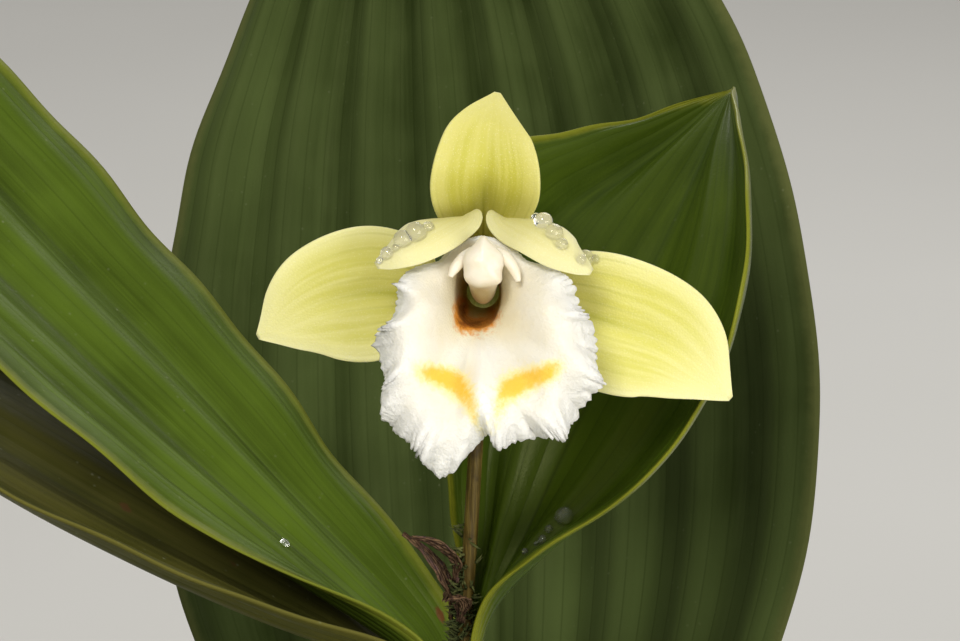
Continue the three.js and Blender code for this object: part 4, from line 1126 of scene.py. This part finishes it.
def soil_piece():
    """The solid planting mix that fills the pot to below its rim."""
    rim = pot_bore(SOIL_TOP) - FIT_GAP
    turn = circle(160)
    radii = np.linspace(rim, 0.6, 56)
    x = radii[:, None] * np.cos(turn)
    y = radii[:, None] * np.sin(turn)
    top = np.stack([x, y, soil_height(x, y)], axis=-1)
    low = POT["floor"] + FIT_GAP
    foot = pot_bore(low) - FIT_GAP
    base = np.stack([foot * np.cos(turn), foot * np.sin(turn), low + 0 * turn], axis=-1)
    look = bark_finish("planting_mix", (0.018, 0.010, 0.006), (0.085, 0.048, 0.026))
    add_rings("soil_surface", [np.concatenate([base[None], top])], look, node="soil")


def chip_piece():
    """Bark chips lying on the mix, each the hull of a few points in a long flat block."""
    random = np.random.default_rng(7)
    form = bmesh.new()
    rim = pot_bore(SOIL_TOP + 2) - 1
    stems = [(cane["x"], cane["y"]) for cane in CANES.values()]
    placed = 0
    while placed < CHIPS["count"]:
        radius = (rim - CHIPS["margin"]) * math.sqrt(random.random())
        around = random.random() * 2 * math.pi
        x = radius * math.cos(around)
        y = radius * math.sin(around)
        size = np.array([random.uniform(*CHIPS[side]) for side in ("length", "width", "thickness")])
        clear = min(math.hypot(x - a, y - b) for a, b in stems) - size[0]
        if clear < CHIPS["clear"] or radius + size[0] > rim:
            continue
        placed += 1
        turn = Matrix.Rotation(random.random() * 2 * math.pi, 3, "Z")
        turn = turn @ Matrix.Rotation(random.normal() * CHIPS["roll"], 3, "X")
        turn = turn @ Matrix.Rotation(random.normal() * CHIPS["pitch"], 3, "Y")
        z = float(soil_height(np.array(x), np.array(y))) + size[2] * random.uniform(*CHIPS["sunk"])
        middle = Vector((x, y, z))
        corners = []
        for signs in np.ndindex(2, 2, 2, 2):
            way = np.array(signs[:3]) * 2 - 1
            at = Vector((way * random.uniform(CHIPS["corner"], 1, 3) * size).tolist())
            corners.append(form.verts.new((middle + turn @ at) * MM))
        found = bmesh.ops.convex_hull(form, input=corners)
        spare = {part for part in found["geom_interior"] + found["geom_unused"]
                 if isinstance(part, bmesh.types.BMVert)}
        bmesh.ops.delete(form, geom=list(spare), context="VERTS")
    piece = linked_form("bark_chips", form)
    piece.data.materials.append(bark_finish("bark", (0.055, 0.024, 0.011), (0.25, 0.13, 0.062)))
    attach(piece, "root")


pot_piece()
soil_piece()
chip_piece()
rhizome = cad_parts["rhizome"]
rhizome.data.materials.clear()
rhizome.data.materials.append(bark_finish("rhizome_skin", (0.16, 0.12, 0.06), (0.36, 0.29, 0.16)))

# Light, floor and camera: places and sizes in metres, lens and sensor in millimetres

FLOOR_HALF = 6
WORLD = dict(color=(1, 0.985, 0.95, 1), strength=0.45)
LIGHTS = {
    "key": dict(place=(-0.25, -0.75, 1.05), aim=(0, 0, 0.3), size=0.35, power=7, color=(1, 0.97, 0.91)),
    "fill": dict(place=(0.75, -0.9, 0.4), aim=(0, 0, 0.27), size=0.8, power=7.5, color=(1, 0.98, 0.95)),
    "back": dict(place=(0.3, 0.9, 0.9), aim=(0, 0, 0.25), size=0.8, power=4, color=(1, 1, 1)),
}
LENS = 140.2
SENSOR = 36


def area_light(name, place, aim, size, power, color):
    data = bpy.data.lights.new(name, "AREA")
    data.shape = "DISK"
    data.size = size
    data.energy = power
    data.color = color
    light = linked(name, data)
    light.location = place
    light.rotation_euler = (Vector(aim) - Vector(place)).to_track_quat("-Z", "Y").to_euler()


def floor():
    mesh = bpy.data.meshes.new("floor")
    corners = [(x * FLOOR_HALF, y * FLOOR_HALF, 0) for x, y in ((-1, -1), (1, -1), (1, 1), (-1, 1))]
    mesh.from_pydata(corners, [], [(0, 1, 2, 3)])
    look = Finish("floor", (0.62, 0.61, 0.58), Roughness=0.85)
    look.tint((0.66, 0.65, 0.62), look.noise(160, 2))
    mesh.materials.append(look.done())
    piece = linked("floor", mesh)


scene = bpy.context.scene
scene.view_settings.view_transform = "Standard"
world = bpy.data.worlds.new("studio")
world.use_nodes = True
background = world.node_tree.nodes["Background"]
background.inputs["Color"].default_value = WORLD["color"]
background.inputs["Strength"].default_value = WORLD["strength"]
scene.world = world
for name, light in LIGHTS.items():
    area_light(name, **light)
floor()

camera = linked("camera", bpy.data.cameras.new("camera"))
camera.data.lens = LENS
camera.data.sensor_width = SENSOR
camera.data.sensor_fit = "HORIZONTAL"
camera.location = CAMERA_AT * MM
camera.rotation_euler = (math.pi / 2 - VIEW_PITCH, 0, 0)
camera.data.clip_start = 0.01
scene.camera = camera
